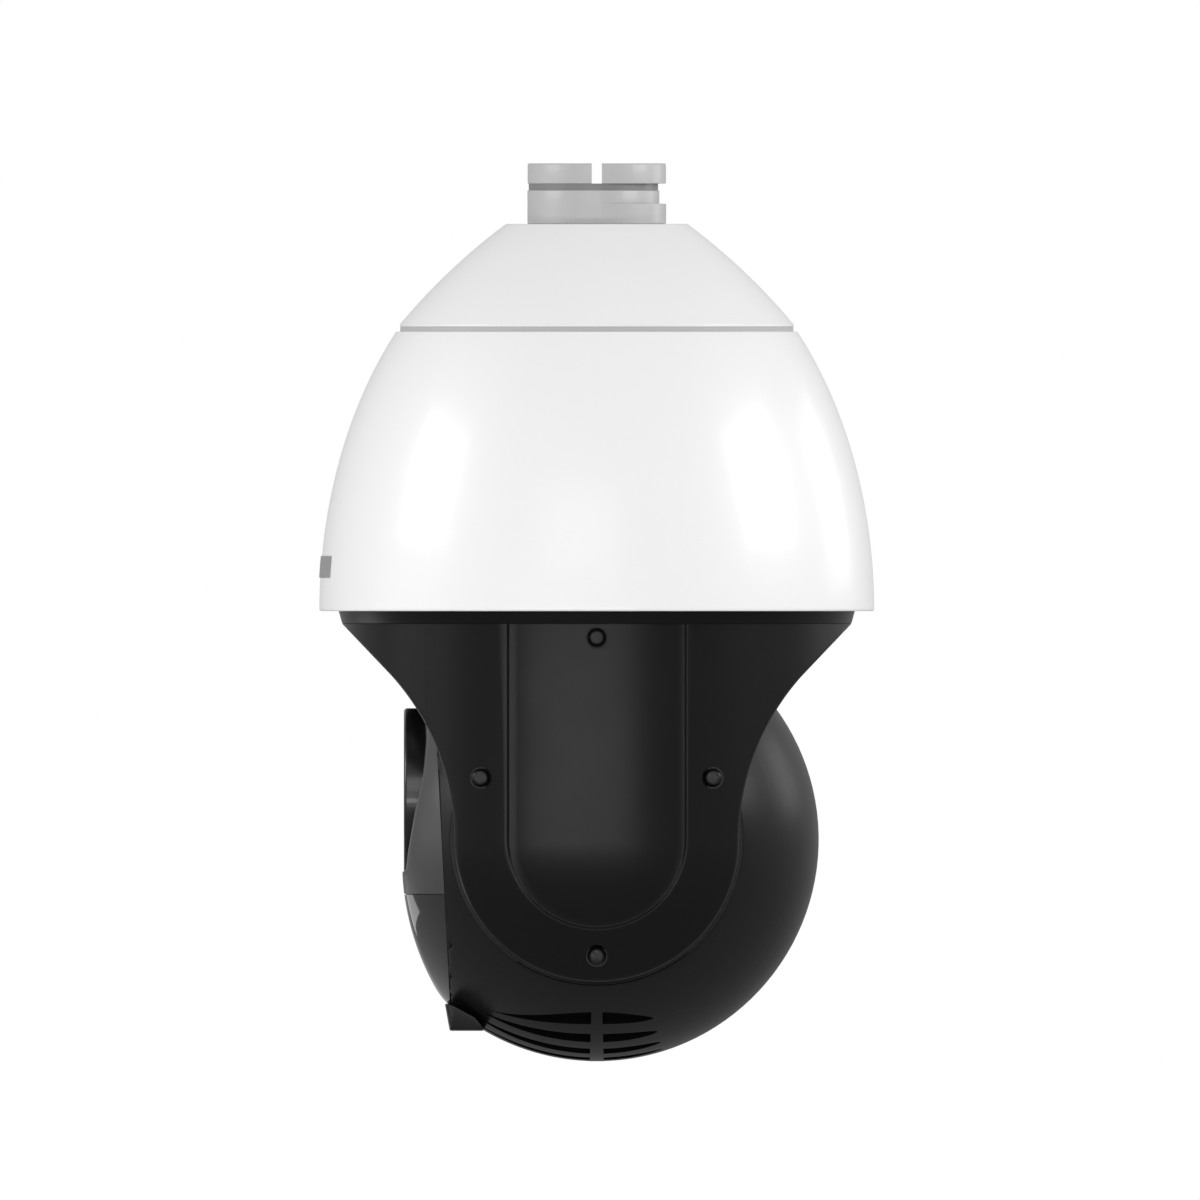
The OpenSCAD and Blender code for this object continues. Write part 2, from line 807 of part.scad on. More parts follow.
// Everything in front of the leaning seam plane between the two halves
module before_seam(shift = 0) {
    rotate([seam_lean, 0, 0])
        translate([-big / 2, -big - head_seam_f - shift, -big / 2]) cube([big, big, big]);
}

// Side outline of the head's front, moved back by the given wall
module face_side(back) {
    arc_c = [-25.8, -8.4] * ball_share;
    a0 = asin((boss_low_z + 1.5 - arc_c[1]) / ir_arc_r);
    a1 = asin((ir_low_z - arc_c[1]) / ir_arc_r);
    steps = 8;
    front = concat(
        [[face_top_f - 2, ball_r]],
        [for (p = [[68.5, 52], [67.6, 40], [68.7, 27], [72.3, 10], [74.7, -4]]) p * ball_share],
        [for (i = [0 : steps])
            let (a = a0 + (a1 - a0) * i / steps)
            [arc_c[0] + ir_arc_r * cos(a), arc_c[1] + ir_arc_r * sin(a)]],
        [[ir_low_f - 8, -ball_r]]);
    polygon(concat([[0, ball_r]], [for (p = front) [-p[0] + back, p[1]]], [[0, -ball_r]]));
}

// Ball with its flat sides, inset by the given wall
module ball_body(inset) {
    intersection() {
        sphere(r = ball_r - inset);
        slab_x(-flat_x + inset, flat_x - inset);
    }
}

// Slots round the tilt axis in the bottom of the ball
module cooling_grooves() {
    groove_deep = 1.8;
    front_angle = 33;
    rear_angle = 17.5;
    rib_half_w = 2.75;
    intersection() {
        difference() {
            sphere(r = ball_r + 5);
            sphere(r = ball_r - groove_deep);
        }
        difference() {
            for (k = [-(groove_n - 1) / 2 : (groove_n - 1) / 2])
                along_x(k * groove_pitch - groove_w / 2, k * groove_pitch + groove_w / 2)
                    polygon([[0, 0], [-big * sin(front_angle), -big * cos(front_angle)],
                        [big * sin(rear_angle), -big * cos(rear_angle)]]);
            translate([-big / 2, -rib_half_w, -big / 2]) cube([big, 2 * rib_half_w, big]);
        }
    }
}

// Rear half of the ball with the grooves, the shaft holes and the chin lip
module head_rear_shell() {
    lip_w = 64;
    color("#303030")
    at_tilt()
    difference() {
        union() {
            difference() {
                ball_body(0);
                ball_body(head_wall);
                before_seam();
                cooling_grooves();
            }
            difference() {
                along_x(-lip_w / 2, lip_w / 2)
                    polygon(concat([[-ir_low_f + 0.2, ir_low_z - 0.3]],
                        [for (p = [[-58.3, -75.9], [-43.6, -75.9], [-48, -71], [-57.2, -66]]) p * ball_share]));
                sphere(r = ball_r - 1);
                intersection() {
                    sphere(r = ball_r + 0.2);
                    before_seam(-fit);
                }
            }
        }
        rod_x(trunnion_d / 2, -big / 2, big / 2);
    }
}

// Front of the ball, from the seam forwards, between two heights
module front_body(z0, z1) {
    difference() {
        intersection() {
            ball_body(0);
            along_x(-flat_x, flat_x) face_side(0);
            before_seam(fit);
            slab_z(z0, z1);
        }
        intersection() {
            ball_body(head_wall);
            along_x(-flat_x, flat_x) face_side(head_wall);
        }
    }
}

// Front cover: face plate with the lens hole, above the infrared window
module head_front_cover() {
    color("#585858")
    at_tilt()
    difference() {
        front_body(ir_top_z, ball_r);
        rod_y(boss_r + fit, -ball_r - 5, -50, 0, lens_z);
    }
}

// Ring seal between the two halves of the ball
module head_seal() {
    color("#101010")
    at_tilt()
    difference() {
        intersection() {
            ball_body(head_wall + fit);
            along_x(-flat_x, flat_x) face_side(head_wall + fit);
            before_seam(-1.5);
        }
        ball_body(head_wall + 2.5);
        before_seam(2.5);
        rod_y(boss_r + fit, -big, -head_seam_f + 10, 0, lens_z);
    }
}

module lens_bezel() {
    rear_y = -head_seam_f - 2.8;
    color("#181818")
    at_tilt()
    difference() {
        rod_y(boss_r, -boss_f, rear_y, 0, lens_z);
        rod_y(glass_r + fit, -boss_f - 1, -boss_f + 3.5, 0, lens_z);
        rod_y(glass_r - 3, -boss_f - 1, rear_y + 1, 0, lens_z);
    }
}
module lens_window() {
    color("#0a0a10")
    at_tilt()
    rod_y(glass_r, -boss_f + 0.4, -boss_f + 3.5, 0, lens_z);
}
// Dark curved window that closes the front below the cover
module ir_window() {
    color("#141418")
    at_tilt()
    difference() {
        front_body(-ball_r, ir_top_z - window_gap);
        rod_y(boss_r + fit, -ball_r - 5, -50, 0, lens_z);
    }
}

// Emitters behind the infrared window, in two rows
led_at = [[-28, -32], [-14, -32], [14, -32], [28, -32], [-20, -44], [0, -44], [20, -44]];
led_board_f = 54;
module ir_led_board() {
    color("darkgreen")
    at_tilt()
    difference() {
        translate([-34, -led_board_f, -50]) cube([68, board_t, 25]);
        for (s = [-1, 1])
            rod_y(1.6, -led_board_f - 1, -led_board_f + 3, s * 30, -46);
    }
}
module ir_leds() {
    lens_r = 5;
    color("lightyellow")
    at_tilt()
    for (p = led_at) {
        rod_y(lens_r, -led_board_f - 3, -led_board_f, p[0], p[1]);
        intersection() {
            translate([p[0], -led_board_f, p[1]]) sphere(r = lens_r);
            rod_y(lens_r + 1, -led_board_f - 6, -led_board_f - 3 + eps, p[0], p[1]);
        }
    }
}

// Frame that carries the zoom lens, with lugs to the shaft sides
chassis_w = 64;
barrel_r = barrel_d / 2;
barrel_front = -60;
barrel_rear = 14;
shaft_screw_y = 13;
module camera_chassis() {
    floor_z = lens_z - barrel_r - 5;
    plate = 3;
    lug_x = flat_x - head_wall - 3.2;
    lug_w = 2 * shaft_screw_y + 10;
    post_at = [[-22, -18], [22, -18], [-22, 18], [22, 18]];
    color("silver")
    at_tilt()
    difference() {
        union() {
            translate([-chassis_w / 2, -44, floor_z]) cube([chassis_w, 92, plate]);
            for (y = [-44, barrel_rear - plate])
                translate([-chassis_w / 2, y, floor_z]) cube([chassis_w, plate, 2 * barrel_r + 8]);
            for (s = [0, 1])
                mirror([s, 0, 0]) {
                    translate([chassis_w / 2 - 1, -lug_w / 2, floor_z])
                        cube([lug_x - chassis_w / 2 + 1, lug_w, plate]);
                    translate([lug_x - 4, -lug_w / 2, floor_z]) cube([4, lug_w, 22]);
                }
            for (p = post_at)
                rod_y(2.2, barrel_rear - eps, barrel_rear + 8, p[0], lens_z + p[1]);
        }
        rod_y(barrel_r, -60, -30, 0, lens_z);
        rod_y(barrel_r - 10, -30, 30, 0, lens_z);
        rod_x(trunnion_d / 2 - 3, lug_x - 10, big / 2);
        rod_x(trunnion_d / 2 - 3, -big / 2, -lug_x + 10);
        for (s = [-1, 1])
            rod_x(1.5, -big / 2, -chassis_w / 2 - 5, s * shaft_screw_y);
        for (s = [-1, 1])
            rod_x(1.5, chassis_w / 2 + 5, big / 2, s * shaft_screw_y);
    }
}
module lens_barrel() {
    wall = 2;
    color("#202020")
    at_tilt()
    difference() {
        rod_y(barrel_r, barrel_front, barrel_rear - 3, 0, lens_z);
        rod_y(barrel_r - wall, barrel_front - 1, barrel_rear - 6, 0, lens_z);
        rod_y(8, -big / 2, big / 2, 0, lens_z);
        for (k = [0 : 5])
            rotate([90, 0, 0]) translate([0, lens_z, -barrel_front - 3 - 2.4 * k])
                difference() {
                    cylinder(r = barrel_r + 1, h = 1.2);
                    translate([0, 0, -1]) cylinder(r = barrel_r - 0.6, h = 4);
                }
    }
}
module front_lens() {
    dome_r_glass = 52;
    color("#304050")
    at_tilt()
    intersection() {
        rod_y(barrel_r - 2, barrel_front - 4, barrel_front + 6, 0, lens_z);
        translate([0, barrel_front - 3 + dome_r_glass, lens_z]) sphere(r = dome_r_glass);
    }
}
rod_r = 1.5;
function rod_off() = barrel_r - 4.5;
module guide_rods() {
    color("silver")
    at_tilt()
    for (s = [-1, 1])
        rod_y(rod_r, barrel_front + 6, barrel_rear - 6, s * rod_off(), lens_z);
}
// Lens cell on the guide rods, from y0 to y1
module lens_group(y0, y1) {
    difference() {
        union() {
            rod_y(group_d / 2, y0, y1, 0, lens_z);
            translate([-rod_off() - 1.8, y0, lens_z - 2.8]) cube([2 * rod_off() + 3.6, y1 - y0, 5.6]);
        }
        for (s = [-1, 1])
            rod_y(rod_r + run, y0 - 1, y1 + 1, s * rod_off(), lens_z);
        for (s = [-1, 1])
            translate([0, s > 0 ? y1 + 26 : y0 - 26, lens_z]) sphere(r = 28);
    }
}
module zoom_group() {
    color("#203048") at_tilt() lens_group(-46, -36);
}
module focus_group() {
    color("#203048") at_tilt() lens_group(-12, -4);
}
module ir_cut_filter() {
    color("#703040")
    at_tilt()
    translate([-8, barrel_rear + 1.5, lens_z - 7]) cube([28, 1.2, 14]);
}
module sensor_board() {
    color("darkgreen")
    at_tilt() {
        translate([-25, barrel_rear + 8, lens_z - 22]) cube([50, board_t, 44]);
        translate([-7, barrel_rear + 5, lens_z - 6]) cube([14, 3 + eps, 12]);
    }
}
module processor_board() {
    color("darkgreen")
    at_tilt() {
        translate([-29, barrel_rear + 18, lens_z - 24]) cube([58, board_t, 50]);
        for (x = [-22, 22], z = [-18, 18])
            rod_y(2.2, barrel_rear + 8 + board_t, barrel_rear + 18 + eps, x, lens_z + z);
        translate([-14, barrel_rear + 18 + board_t - eps, lens_z - 10]) cube([28, 7, 28]);
    }
}

// Hollow shaft from the head into one arm
module trunnion(side, reach) {
    color("silver")
    at_tilt()
    mirror([side, 0, 0])
    difference() {
        union() {
            rod_x(trunnion_d / 2, flat_x - head_wall, reach);
            rod_x(trunnion_d / 2 + 6, flat_x - head_wall - 3, flat_x - head_wall);
        }
        rod_x(trunnion_d / 2 - 3, flat_x - 20, reach + 1);
        for (s = [-1, 1])
            rod_x(1.5, flat_x - 20, flat_x - head_wall - 0.5, s * shaft_screw_y);
    }
}
module trunnion_left() {
    trunnion(0, belt_x + belt_w);
}
module trunnion_right() {
    trunnion(1, split_x + 4);
}
module tilt_pulley() {
    color("gainsboro")
    at_tilt()
    difference() {
        along_x(belt_x, belt_x + belt_w) toothed(tilt_pulley_d / 2, 36);
        rod_x(trunnion_d / 2, belt_x - 1, belt_x + belt_w + 1);
    }
}
// Screws that hold the camera frame to the shaft flanges
module head_screws() {
    head_x = flat_x - head_wall - 7.2;
    color("gray")
    at_tilt()
    for (s = [0, 1], y = [-1, 1])
        mirror([s, 0, 0]) {
            rod_x(2.6, head_x - 2, head_x, y * shaft_screw_y);
            rod_x(1.4, head_x - eps, head_x + 6, y * shaft_screw_y);
        }
}

mount_collar();
cable_gland();
top_cap();
cap_seal();
main_housing();
blank_badge();
base_plate();
base_screws();
pan_bearing_outer();
motor_bracket();
pan_motor();
pan_belt();
slip_ring_stator();
board_standoffs();
main_board();
power_board();
turntable();
yoke_hood();
head_shroud();
pan_shaft();
pan_bearing_inner();
pan_bearing_balls();
pan_pulley();
slip_ring_rotor();
arm_cover_left();
arm_cover_right();
arm_seals();
arm_screws();
tilt_bearing_left();
tilt_bearing_right();
tilt_motor();
tilt_belt();
driver_board();
pan_drive_pulley();
tilt_drive_pulley();
head_rear_shell();
head_front_cover();
head_seal();
lens_bezel();
lens_window();
ir_window();
ir_led_board();
ir_leds();
camera_chassis();
lens_barrel();
front_lens();
guide_rods();
sensor_board();
processor_board();
trunnion_left();
trunnion_right();
tilt_pulley();
head_screws();
zoom_group();
focus_group();
ir_cut_filter();
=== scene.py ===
"""Looks of the pendant pan, tilt and zoom dome camera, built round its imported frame."""

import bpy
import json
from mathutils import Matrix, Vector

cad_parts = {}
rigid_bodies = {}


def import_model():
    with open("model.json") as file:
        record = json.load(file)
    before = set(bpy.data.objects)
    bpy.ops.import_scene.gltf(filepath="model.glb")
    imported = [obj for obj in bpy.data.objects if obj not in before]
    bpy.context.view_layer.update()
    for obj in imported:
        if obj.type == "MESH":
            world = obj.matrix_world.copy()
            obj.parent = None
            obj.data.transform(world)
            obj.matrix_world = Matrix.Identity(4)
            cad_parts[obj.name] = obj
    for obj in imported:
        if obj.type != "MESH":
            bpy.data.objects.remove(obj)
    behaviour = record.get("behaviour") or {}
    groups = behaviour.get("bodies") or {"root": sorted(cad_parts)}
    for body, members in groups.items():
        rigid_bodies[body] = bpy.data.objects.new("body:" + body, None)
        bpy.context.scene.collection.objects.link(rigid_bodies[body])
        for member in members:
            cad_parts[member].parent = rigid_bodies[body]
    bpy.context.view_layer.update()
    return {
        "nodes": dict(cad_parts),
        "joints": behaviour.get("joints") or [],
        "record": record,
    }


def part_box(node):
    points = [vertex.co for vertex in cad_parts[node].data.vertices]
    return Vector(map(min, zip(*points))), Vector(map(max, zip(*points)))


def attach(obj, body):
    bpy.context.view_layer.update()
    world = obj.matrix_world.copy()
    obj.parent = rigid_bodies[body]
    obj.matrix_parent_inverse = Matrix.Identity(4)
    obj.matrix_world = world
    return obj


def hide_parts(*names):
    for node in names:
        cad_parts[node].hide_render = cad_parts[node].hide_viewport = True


bl_info = {
    "name": "Dome Camera Looks",
    "version": (1, 0, 0),
    "blender": (4, 5, 0),
    "location": "View3D > Sidebar > Dome Camera",
    "description": "Builds the shells, windows, screws and finishes of a pendant dome camera",
    "category": "Add Mesh",
}

import json
import math

import bmesh
import bpy
import numpy as np
from bpy.props import FloatProperty, FloatVectorProperty, PointerProperty
from mathutils import Vector

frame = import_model()

MM = 0.001
MERGE = 0.002 * MM
AXIS_Z = frame["joints"][[j["name"] for j in frame["joints"]].index("tilt")]["pos_m"][2]


def node_box(name):
    """Lowest and highest corners of a CAD node, as two arrays in metres."""
    low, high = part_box(name)
    return np.array(low), np.array(high)


DOME_LOW, DOME_HIGH = node_box("main_housing")
CAP_LOW, _ = node_box("top_cap")
_, COLLAR_HIGH = node_box("mount_collar")
RING_LOW, RING_HIGH = node_box("turntable")
BADGE_LOW, BADGE_HIGH = node_box("blank_badge")
_, BALL_HIGH = node_box("head_rear_shell")
BEZEL_LOW, BEZEL_HIGH = node_box("lens_bezel")
GLAND_LOW, GLAND_HIGH = node_box("cable_gland")
_, HOOD_HIGH = node_box("yoke_hood")


# ------------------------------------------------------------------ settings

class DomeSizes(bpy.types.PropertyGroup):
    """Sizes of the housing, the collar and the black yoke."""

    close_height: FloatProperty(
        name="Closing height", description="Height above its rim at which the dome's ellipse would close",
        default=0.1604, unit="LENGTH")
    wall: FloatProperty(
        name="Wall", description="Thickness of the white shells", default=0.003, unit="LENGTH")
    shoulder: FloatProperty(
        name="Shoulder radius", description="Radius of the cap's flat top", default=0.036, unit="LENGTH")
    bulge: FloatProperty(
        name="Cap bulge", description="How far the cap's cone bows outwards", default=0.0018, unit="LENGTH")
    collar_radius: FloatProperty(
        name="Collar radius", description="Radius of the mounting collar", default=0.0275, unit="LENGTH")
    band: FloatProperty(
        name="Collar band", description="Height of each end band of the collar", default=0.008, unit="LENGTH")
    arm_end: FloatProperty(
        name="Arm end radius", description="Radius of the arms' round lower ends", default=0.0565, unit="LENGTH")
    flare: FloatProperty(
        name="Flare radius", description="Radius of the curve from an arm into the hood",
        default=0.097, unit="LENGTH")
    flare_angle: FloatProperty(
        name="Flare angle", description="Angle that the flare turns through",
        default=math.radians(42), subtype="ANGLE")
    panel: FloatProperty(
        name="Panel half width", description="Half width of the sunk panel on an arm",
        default=0.036, unit="LENGTH")
    panel_depth: FloatProperty(
        name="Panel depth", description="How deep the arm's panel is sunk", default=0.0015, unit="LENGTH")


class HeadSizes(bpy.types.PropertyGroup):
    """Sizes of the ball, its front and its windows."""

    radius: FloatProperty(
        name="Ball radius", description="Radius of the tilting ball", default=0.088, unit="LENGTH")
    seam: FloatProperty(
        name="Seam distance", description="Distance of the seam in front of the tilt axis",
        default=0.0612, unit="LENGTH")
    seam_lean: FloatProperty(
        name="Seam lean", description="Lean of the seam from upright",
        default=math.radians(2.9), subtype="ANGLE")
    groove_pitch: FloatProperty(
        name="Groove pitch", description="Spacing of the cooling grooves", default=0.013, unit="LENGTH")
    groove_width: FloatProperty(
        name="Groove width", description="Width of a cooling groove", default=0.0065, unit="LENGTH")
    lens_height: FloatProperty(
        name="Lens height", description="Height of the lens above the tilt axis", default=0.0155, unit="LENGTH")
    boss_radius: FloatProperty(
        name="Boss radius", description="Radius of the round lens boss", default=0.0365, unit="LENGTH")


class FinishColours(bpy.types.PropertyGroup):
    """Colours of the visible finishes."""

    white: FloatVectorProperty(
        name="White coat", description="Powder coat of dome and cap", subtype="COLOR",
        default=(0.91, 0.91, 0.91), size=3)
    collar: FloatVectorProperty(
        name="Collar grey", description="Light grey of the collar", subtype="COLOR",
        default=(0.50, 0.50, 0.50), size=3)
    black: FloatVectorProperty(
        name="Yoke black", description="Black of the hood and the arm covers", subtype="COLOR",
        default=(0.005, 0.005, 0.005), size=3)
    charcoal: FloatVectorProperty(
        name="Ball charcoal", description="Dark grey of the ball", subtype="COLOR",
        default=(0.010, 0.010, 0.010), size=3)
    front: FloatVectorProperty(
        name="Front grey", description="Grey of the front cover", subtype="COLOR",
        default=(0.05, 0.05, 0.05), size=3)


def sizes():
    return bpy.context.scene.dome_sizes


def head():
    return bpy.context.scene.head_sizes


def colours():
    return bpy.context.scene.finish_colours


# ------------------------------------------------------------------ surfaces

def smooth_step(t):
    """0 below 0, 1 above 1, and 3t^2 - 2t^3 between."""
    t = np.clip(t, 0, 1)
    return t * t * (3 - 2 * t)


def soft_min(a, b, k):
    """The smaller of a and b, with the corner between them rounded over a width k."""
    h = np.clip(0.5 + 0.5 * (b - a) / k, 0, 1)
    return b * (1 - h) + a * h - k * h * (1 - h)


def rounded(corners, radii, steps=6):
    """A closed outline whose corners are turned into arcs.

    At each corner the arc starts and ends r * tan(half the turn) away along the two sides, and is a
    circle of radius r that touches both. A radius of 0 keeps the corner sharp.
    """
    points = []
    n = len(corners)
    for i in range(n):
        p = np.array(corners[i], float)
        before = np.array(corners[i - 1], float) - p
        after = np.array(corners[(i + 1) % n], float) - p
        u, v = before / np.linalg.norm(before), after / np.linalg.norm(after)
        half = math.acos(float(np.clip(u @ v, -1, 1))) / 2
        r = radii[i] if isinstance(radii, (list, tuple)) else radii
        if r <= 0 or half > math.pi / 2 - 0.02:
            points.append(p)
            continue
        centre = p + (u + v) / np.linalg.norm(u + v) * (r / math.sin(half))
        start = p + u * (r / math.tan(half)) - centre
        end = p + v * (r / math.tan(half)) - centre
        a0 = math.atan2(start[1], start[0])
        turn = math.atan2(end[1], end[0]) - a0
        turn = (turn + math.pi) % (2 * math.pi) - math.pi
        angles = a0 + turn * np.linspace(0, 1, steps)
        points.extend(centre + r * np.stack([np.cos(angles), np.sin(angles)], 1))
    return np.array(points)


def finish_mesh(name, points, faces, body, slot, replaced=(), sharp=30):
    """Makes a mesh object of points and faces, merges doubles, points its faces outwards and rides it."""
    mesh = bpy.data.meshes.new(name)
    mesh.from_pydata(np.asarray(points, float).reshape(-1, 3).tolist(), [], faces)
    work = bmesh.new()
    work.from_mesh(mesh)
    bmesh.ops.remove_doubles(work, verts=work.verts, dist=MERGE)
    bmesh.ops.dissolve_degenerate(work, edges=work.edges, dist=MERGE)
    bmesh.ops.recalc_face_normals(work, faces=work.faces)
    work.to_mesh(mesh)
    work.free()
    piece = bpy.data.objects.new(name, mesh)
    bpy.context.scene.collection.objects.link(piece)
    mesh.shade_smooth()
    mesh.set_sharp_from_angle(angle=math.radians(sharp))
    mesh.materials.append(FINISHES[slot])
    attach(piece, body)
    if replaced:
        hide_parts(*replaced)
    return piece


def grid_faces(rows, columns, close_rows=False, close_columns=False, start=0):
    """Quads of a grid of rows x columns points, numbered row by row from start."""
    i = np.arange(rows if close_rows else rows - 1)
    j = np.arange(columns if close_columns else columns - 1)
    a, b = np.meshgrid(i, j, indexing="ij")
    a2, b2 = (a + 1) % rows, (b + 1) % columns
    quads = np.stack([a * columns + b, a2 * columns + b, a2 * columns + b2, a * columns + b2], -1)
    return (quads.reshape(-1, 4) + start).tolist()


def turned(outline, count=192, centre=(0, 0), radius_at=None):
    """A closed outline of (radius, height) points turned about an upright axis.

    Each point goes to (r cos a, r sin a, z) for count angles a. radius_at(r, z, a), if given, gives
    the radius at each angle.
    """
    outline = np.asarray(outline, float)
    a = np.linspace(0, 2 * math.pi, count, endpoint=False)[:, None]
    r = np.repeat(outline[None, :, 0], count, 0)
    z = np.repeat(outline[None, :, 1], count, 0)
    if radius_at is not None:
        r = radius_at(r, z, a)
    points = np.stack([centre[0] + r * np.cos(a), centre[1] + r * np.sin(a), z], -1)
    return points, grid_faces(count, len(outline), True, True)


def about_y(points, height):
    """Turns a shape made about the upright axis so that its +Z looks along -Y, at the given height."""
    x, y, z = points[..., 0], points[..., 1], points[..., 2]
    return np.stack([x, -z, y + height], -1)


def cut_with(piece, cutters):
    """Cuts each closed cutter out of the piece, and removes the cutters."""
    for cutter in cutters:
        step = piece.modifiers.new("Cut", "BOOLEAN")
        step.operation = "DIFFERENCE"
        step.solver = "EXACT"
        step.object = cutter
        graph = bpy.context.evaluated_depsgraph_get()
        cut = bpy.data.meshes.new_from_object(piece.evaluated_get(graph))
        piece.modifiers.remove(step)
        old = piece.data
        piece.data = cut
        cut.name = old.name
        bpy.data.meshes.remove(old)
        bpy.data.objects.remove(cutter)
    piece.data.shade_smooth()
    piece.data.set_sharp_from_angle(angle=math.radians(30))


def cutter(points, faces):
    """A closed shape that is only used to cut with."""
    mesh = bpy.data.meshes.new("cutter")
    mesh.from_pydata(np.asarray(points, float).reshape(-1, 3).tolist(), [], faces)
    work = bmesh.new()
    work.from_mesh(mesh)
    bmesh.ops.recalc_face_normals(work, faces=work.faces)
    work.to_mesh(mesh)
    work.free()
    shape = bpy.data.objects.new("cutter", mesh)
    bpy.context.scene.collection.objects.link(shape)
    return shape


def bar_cutter(angle, half_length, half_width, low, high):
    """An upright-sided bar through the axis, turned by an angle about it."""
    c, s = math.cos(angle), math.sin(angle)
    points = [(c * x - s * y, s * x + c * y, z) for x in (-half_length, half_length)
              for y in (-half_width, half_width) for z in (low, high)]
    return cutter(points, [(0, 1, 3, 2), (4, 6, 7, 5), (0, 4, 5, 1), (2, 3, 7, 6), (0, 2, 6, 4), (1, 5, 7, 3)])


def face_centres(mesh):
    """Centre of every face, as an array."""
    places = np.empty(len(mesh.polygons) * 3)
    mesh.polygons.foreach_get("center", places)
    return places.reshape(-1, 3)


# ------------------------------------------------------------------ finishes

class Value:
    """A number on a shader socket. Arithmetic on it adds Math nodes."""

    def __init__(self, finish, socket):
        self.finish = finish
        self.socket = socket

    def math(self, operation, *others):
        return self.finish.math(operation, self, *others)

    def __add__(self, other):
        return self.math("ADD", other)

    def __sub__(self, other):
        return self.math("SUBTRACT", other)

    def __mul__(self, other):
        return self.math("MULTIPLY", other)

    __radd__ = __add__
    __rmul__ = __mul__

    def __rsub__(self, other):
        return self.finish.math("SUBTRACT", other, self)

    def step(self, low, high):
        """0 below low, 1 above high, smooth between."""
        return self.finish.node(
            "ShaderNodeMapRange", {"interpolation_type": "SMOOTHSTEP"},
            {"Value": self, "From Min": low, "From Max": high}).out("Result")


class Built:
    """A node that has been added, whose outputs can be picked by name."""

    def __init__(self, finish, node):
        self.finish = finish
        self.node = node

    def out(self, name):
        return Value(self.finish, self.node.outputs[name])


class Finish:
    """One material and the nodes that make it."""

    def __init__(self, name, **surface):
        self.material = bpy.data.materials.new(name)
        self.material.use_nodes = True
        self.tree = self.material.node_tree
        self.tree.nodes.clear()
        self.surface = self.node("ShaderNodeBsdfPrincipled", {}, surface_sockets(surface))
        self.node("ShaderNodeOutputMaterial", {}, {"Surface": self.surface.out("BSDF")})
        self.place = self.node("ShaderNodeTexCoord").out("Object")

    def node(self, kind, settings=None, sockets=None):
        node = self.tree.nodes.new(kind)
        for key, value in (settings or {}).items():
            setattr(node, key, value)
        for key, value in (sockets or {}).items():
            self.feed(node.inputs[key], value)
        return Built(self, node)

    def feed(self, socket, value):
        if isinstance(value, Value):
            self.tree.links.new(value.socket, socket)
        elif isinstance(value, (tuple, list)) and len(value) == 3 and socket.type == "RGBA":
            socket.default_value = (*value, 1)
        else:
            socket.default_value = value

    def math(self, operation, *values):
        return self.node("ShaderNodeMath", {"operation": operation}, dict(enumerate(values))).out("Value")

    def noise(self, scale, detail=3, rough=0.55, squeeze=(1, 1, 1)):
        place = self.node("ShaderNodeMapping", {}, {"Vector": self.place, "Scale": squeeze}).out("Vector")
        return self.node("ShaderNodeTexNoise", {}, {
            "Vector": place, "Scale": scale, "Detail": detail, "Roughness": rough}).out("Fac")

    def between(self, factor, a, b):
        """Colour that goes from a to b with the factor."""
        node = self.tree.nodes.new("ShaderNodeMix")
        node.data_type = "RGBA"
        for index, value in ((0, factor), (6, a), (7, b)):
            self.feed(node.inputs[index], value)
        return Value(self, node.outputs[2])

    def set(self, name, value):
        self.feed(self.surface.node.inputs[name], value)

    def bump(self, height, distance):
        normal = self.node("ShaderNodeBump", {}, {"Height": height, "Distance": distance, "Strength": 1.0})
        self.set("Normal", normal.out("Normal"))


def surface_sockets(surface):
    """Principled socket names from plain keyword names, such as coat_roughness."""
    names = {"ior": "IOR", "specular": "Specular IOR Level"}
    return {names.get(k, k.replace("_", " ").title()): v for k, v in surface.items()}


def shade(colour, factor):
    return tuple(c * factor for c in colour)


def powder_coat(name, colour, rough, peel):
    """Sprayed coat: faint orange peel, a little unevenness in gloss and the slightest mottle."""
    f = Finish(name, coat_weight=0.25, coat_roughness=0.12, specular=0.5)
    cloud = f.noise(22, 4)
    f.set("Base Color", f.between(cloud, shade(colour, 0.985), colour))
    f.set("Roughness", f.noise(140, 3) * 0.08 + (rough - 0.04))
    f.bump(f.noise(620, 2) + f.noise(2600, 2) * 0.25, peel)
    return f.material


def moulding(name, colour, rough, grain, grain_scale=2400, spread=0.12, specular=0.2):
    """Fine-grained moulded plastic, a little lighter where the grain stands up."""
    f = Finish(name, specular=specular)
    fine = f.noise(grain_scale, 2, 0.6)
    cloud = f.noise(30, 4)
    f.set("Base Color", f.between(fine * 0.6 + cloud * 0.4, shade(colour, 1 - spread), shade(colour, 1 + spread)))
    f.set("Roughness", cloud * 0.08 + fine * 0.06 + (rough - 0.07))
    f.bump(fine + f.noise(grain_scale * 0.3, 2) * 0.5, grain)
    return f.material


def polished(name, colour, rough, alpha=1.0, coat=1.0, tint=None):
    """Polished plastic or glass with the faintest smear in its gloss."""
    f = Finish(name, coat_weight=coat, coat_roughness=0.03, specular=0.5, ior=1.5)
    smear = f.noise(45, 4, 0.6, (1, 1, 0.35))
    f.set("Roughness", smear.step(0.35, 0.8) * 0.05 + rough)
    if tint is None:
        f.set("Base Color", f.between(smear, colour, shade(colour, 1.3)))
    else:
        rim = f.node("ShaderNodeLayerWeight", {}, {"Blend": 0.35}).out("Facing")
        f.set("Base Color", f.between(rim, colour, tint))
    if alpha < 1:
        f.set("Alpha", alpha)
    f.bump(f.noise(90, 2), 0.000004)
    return f.material


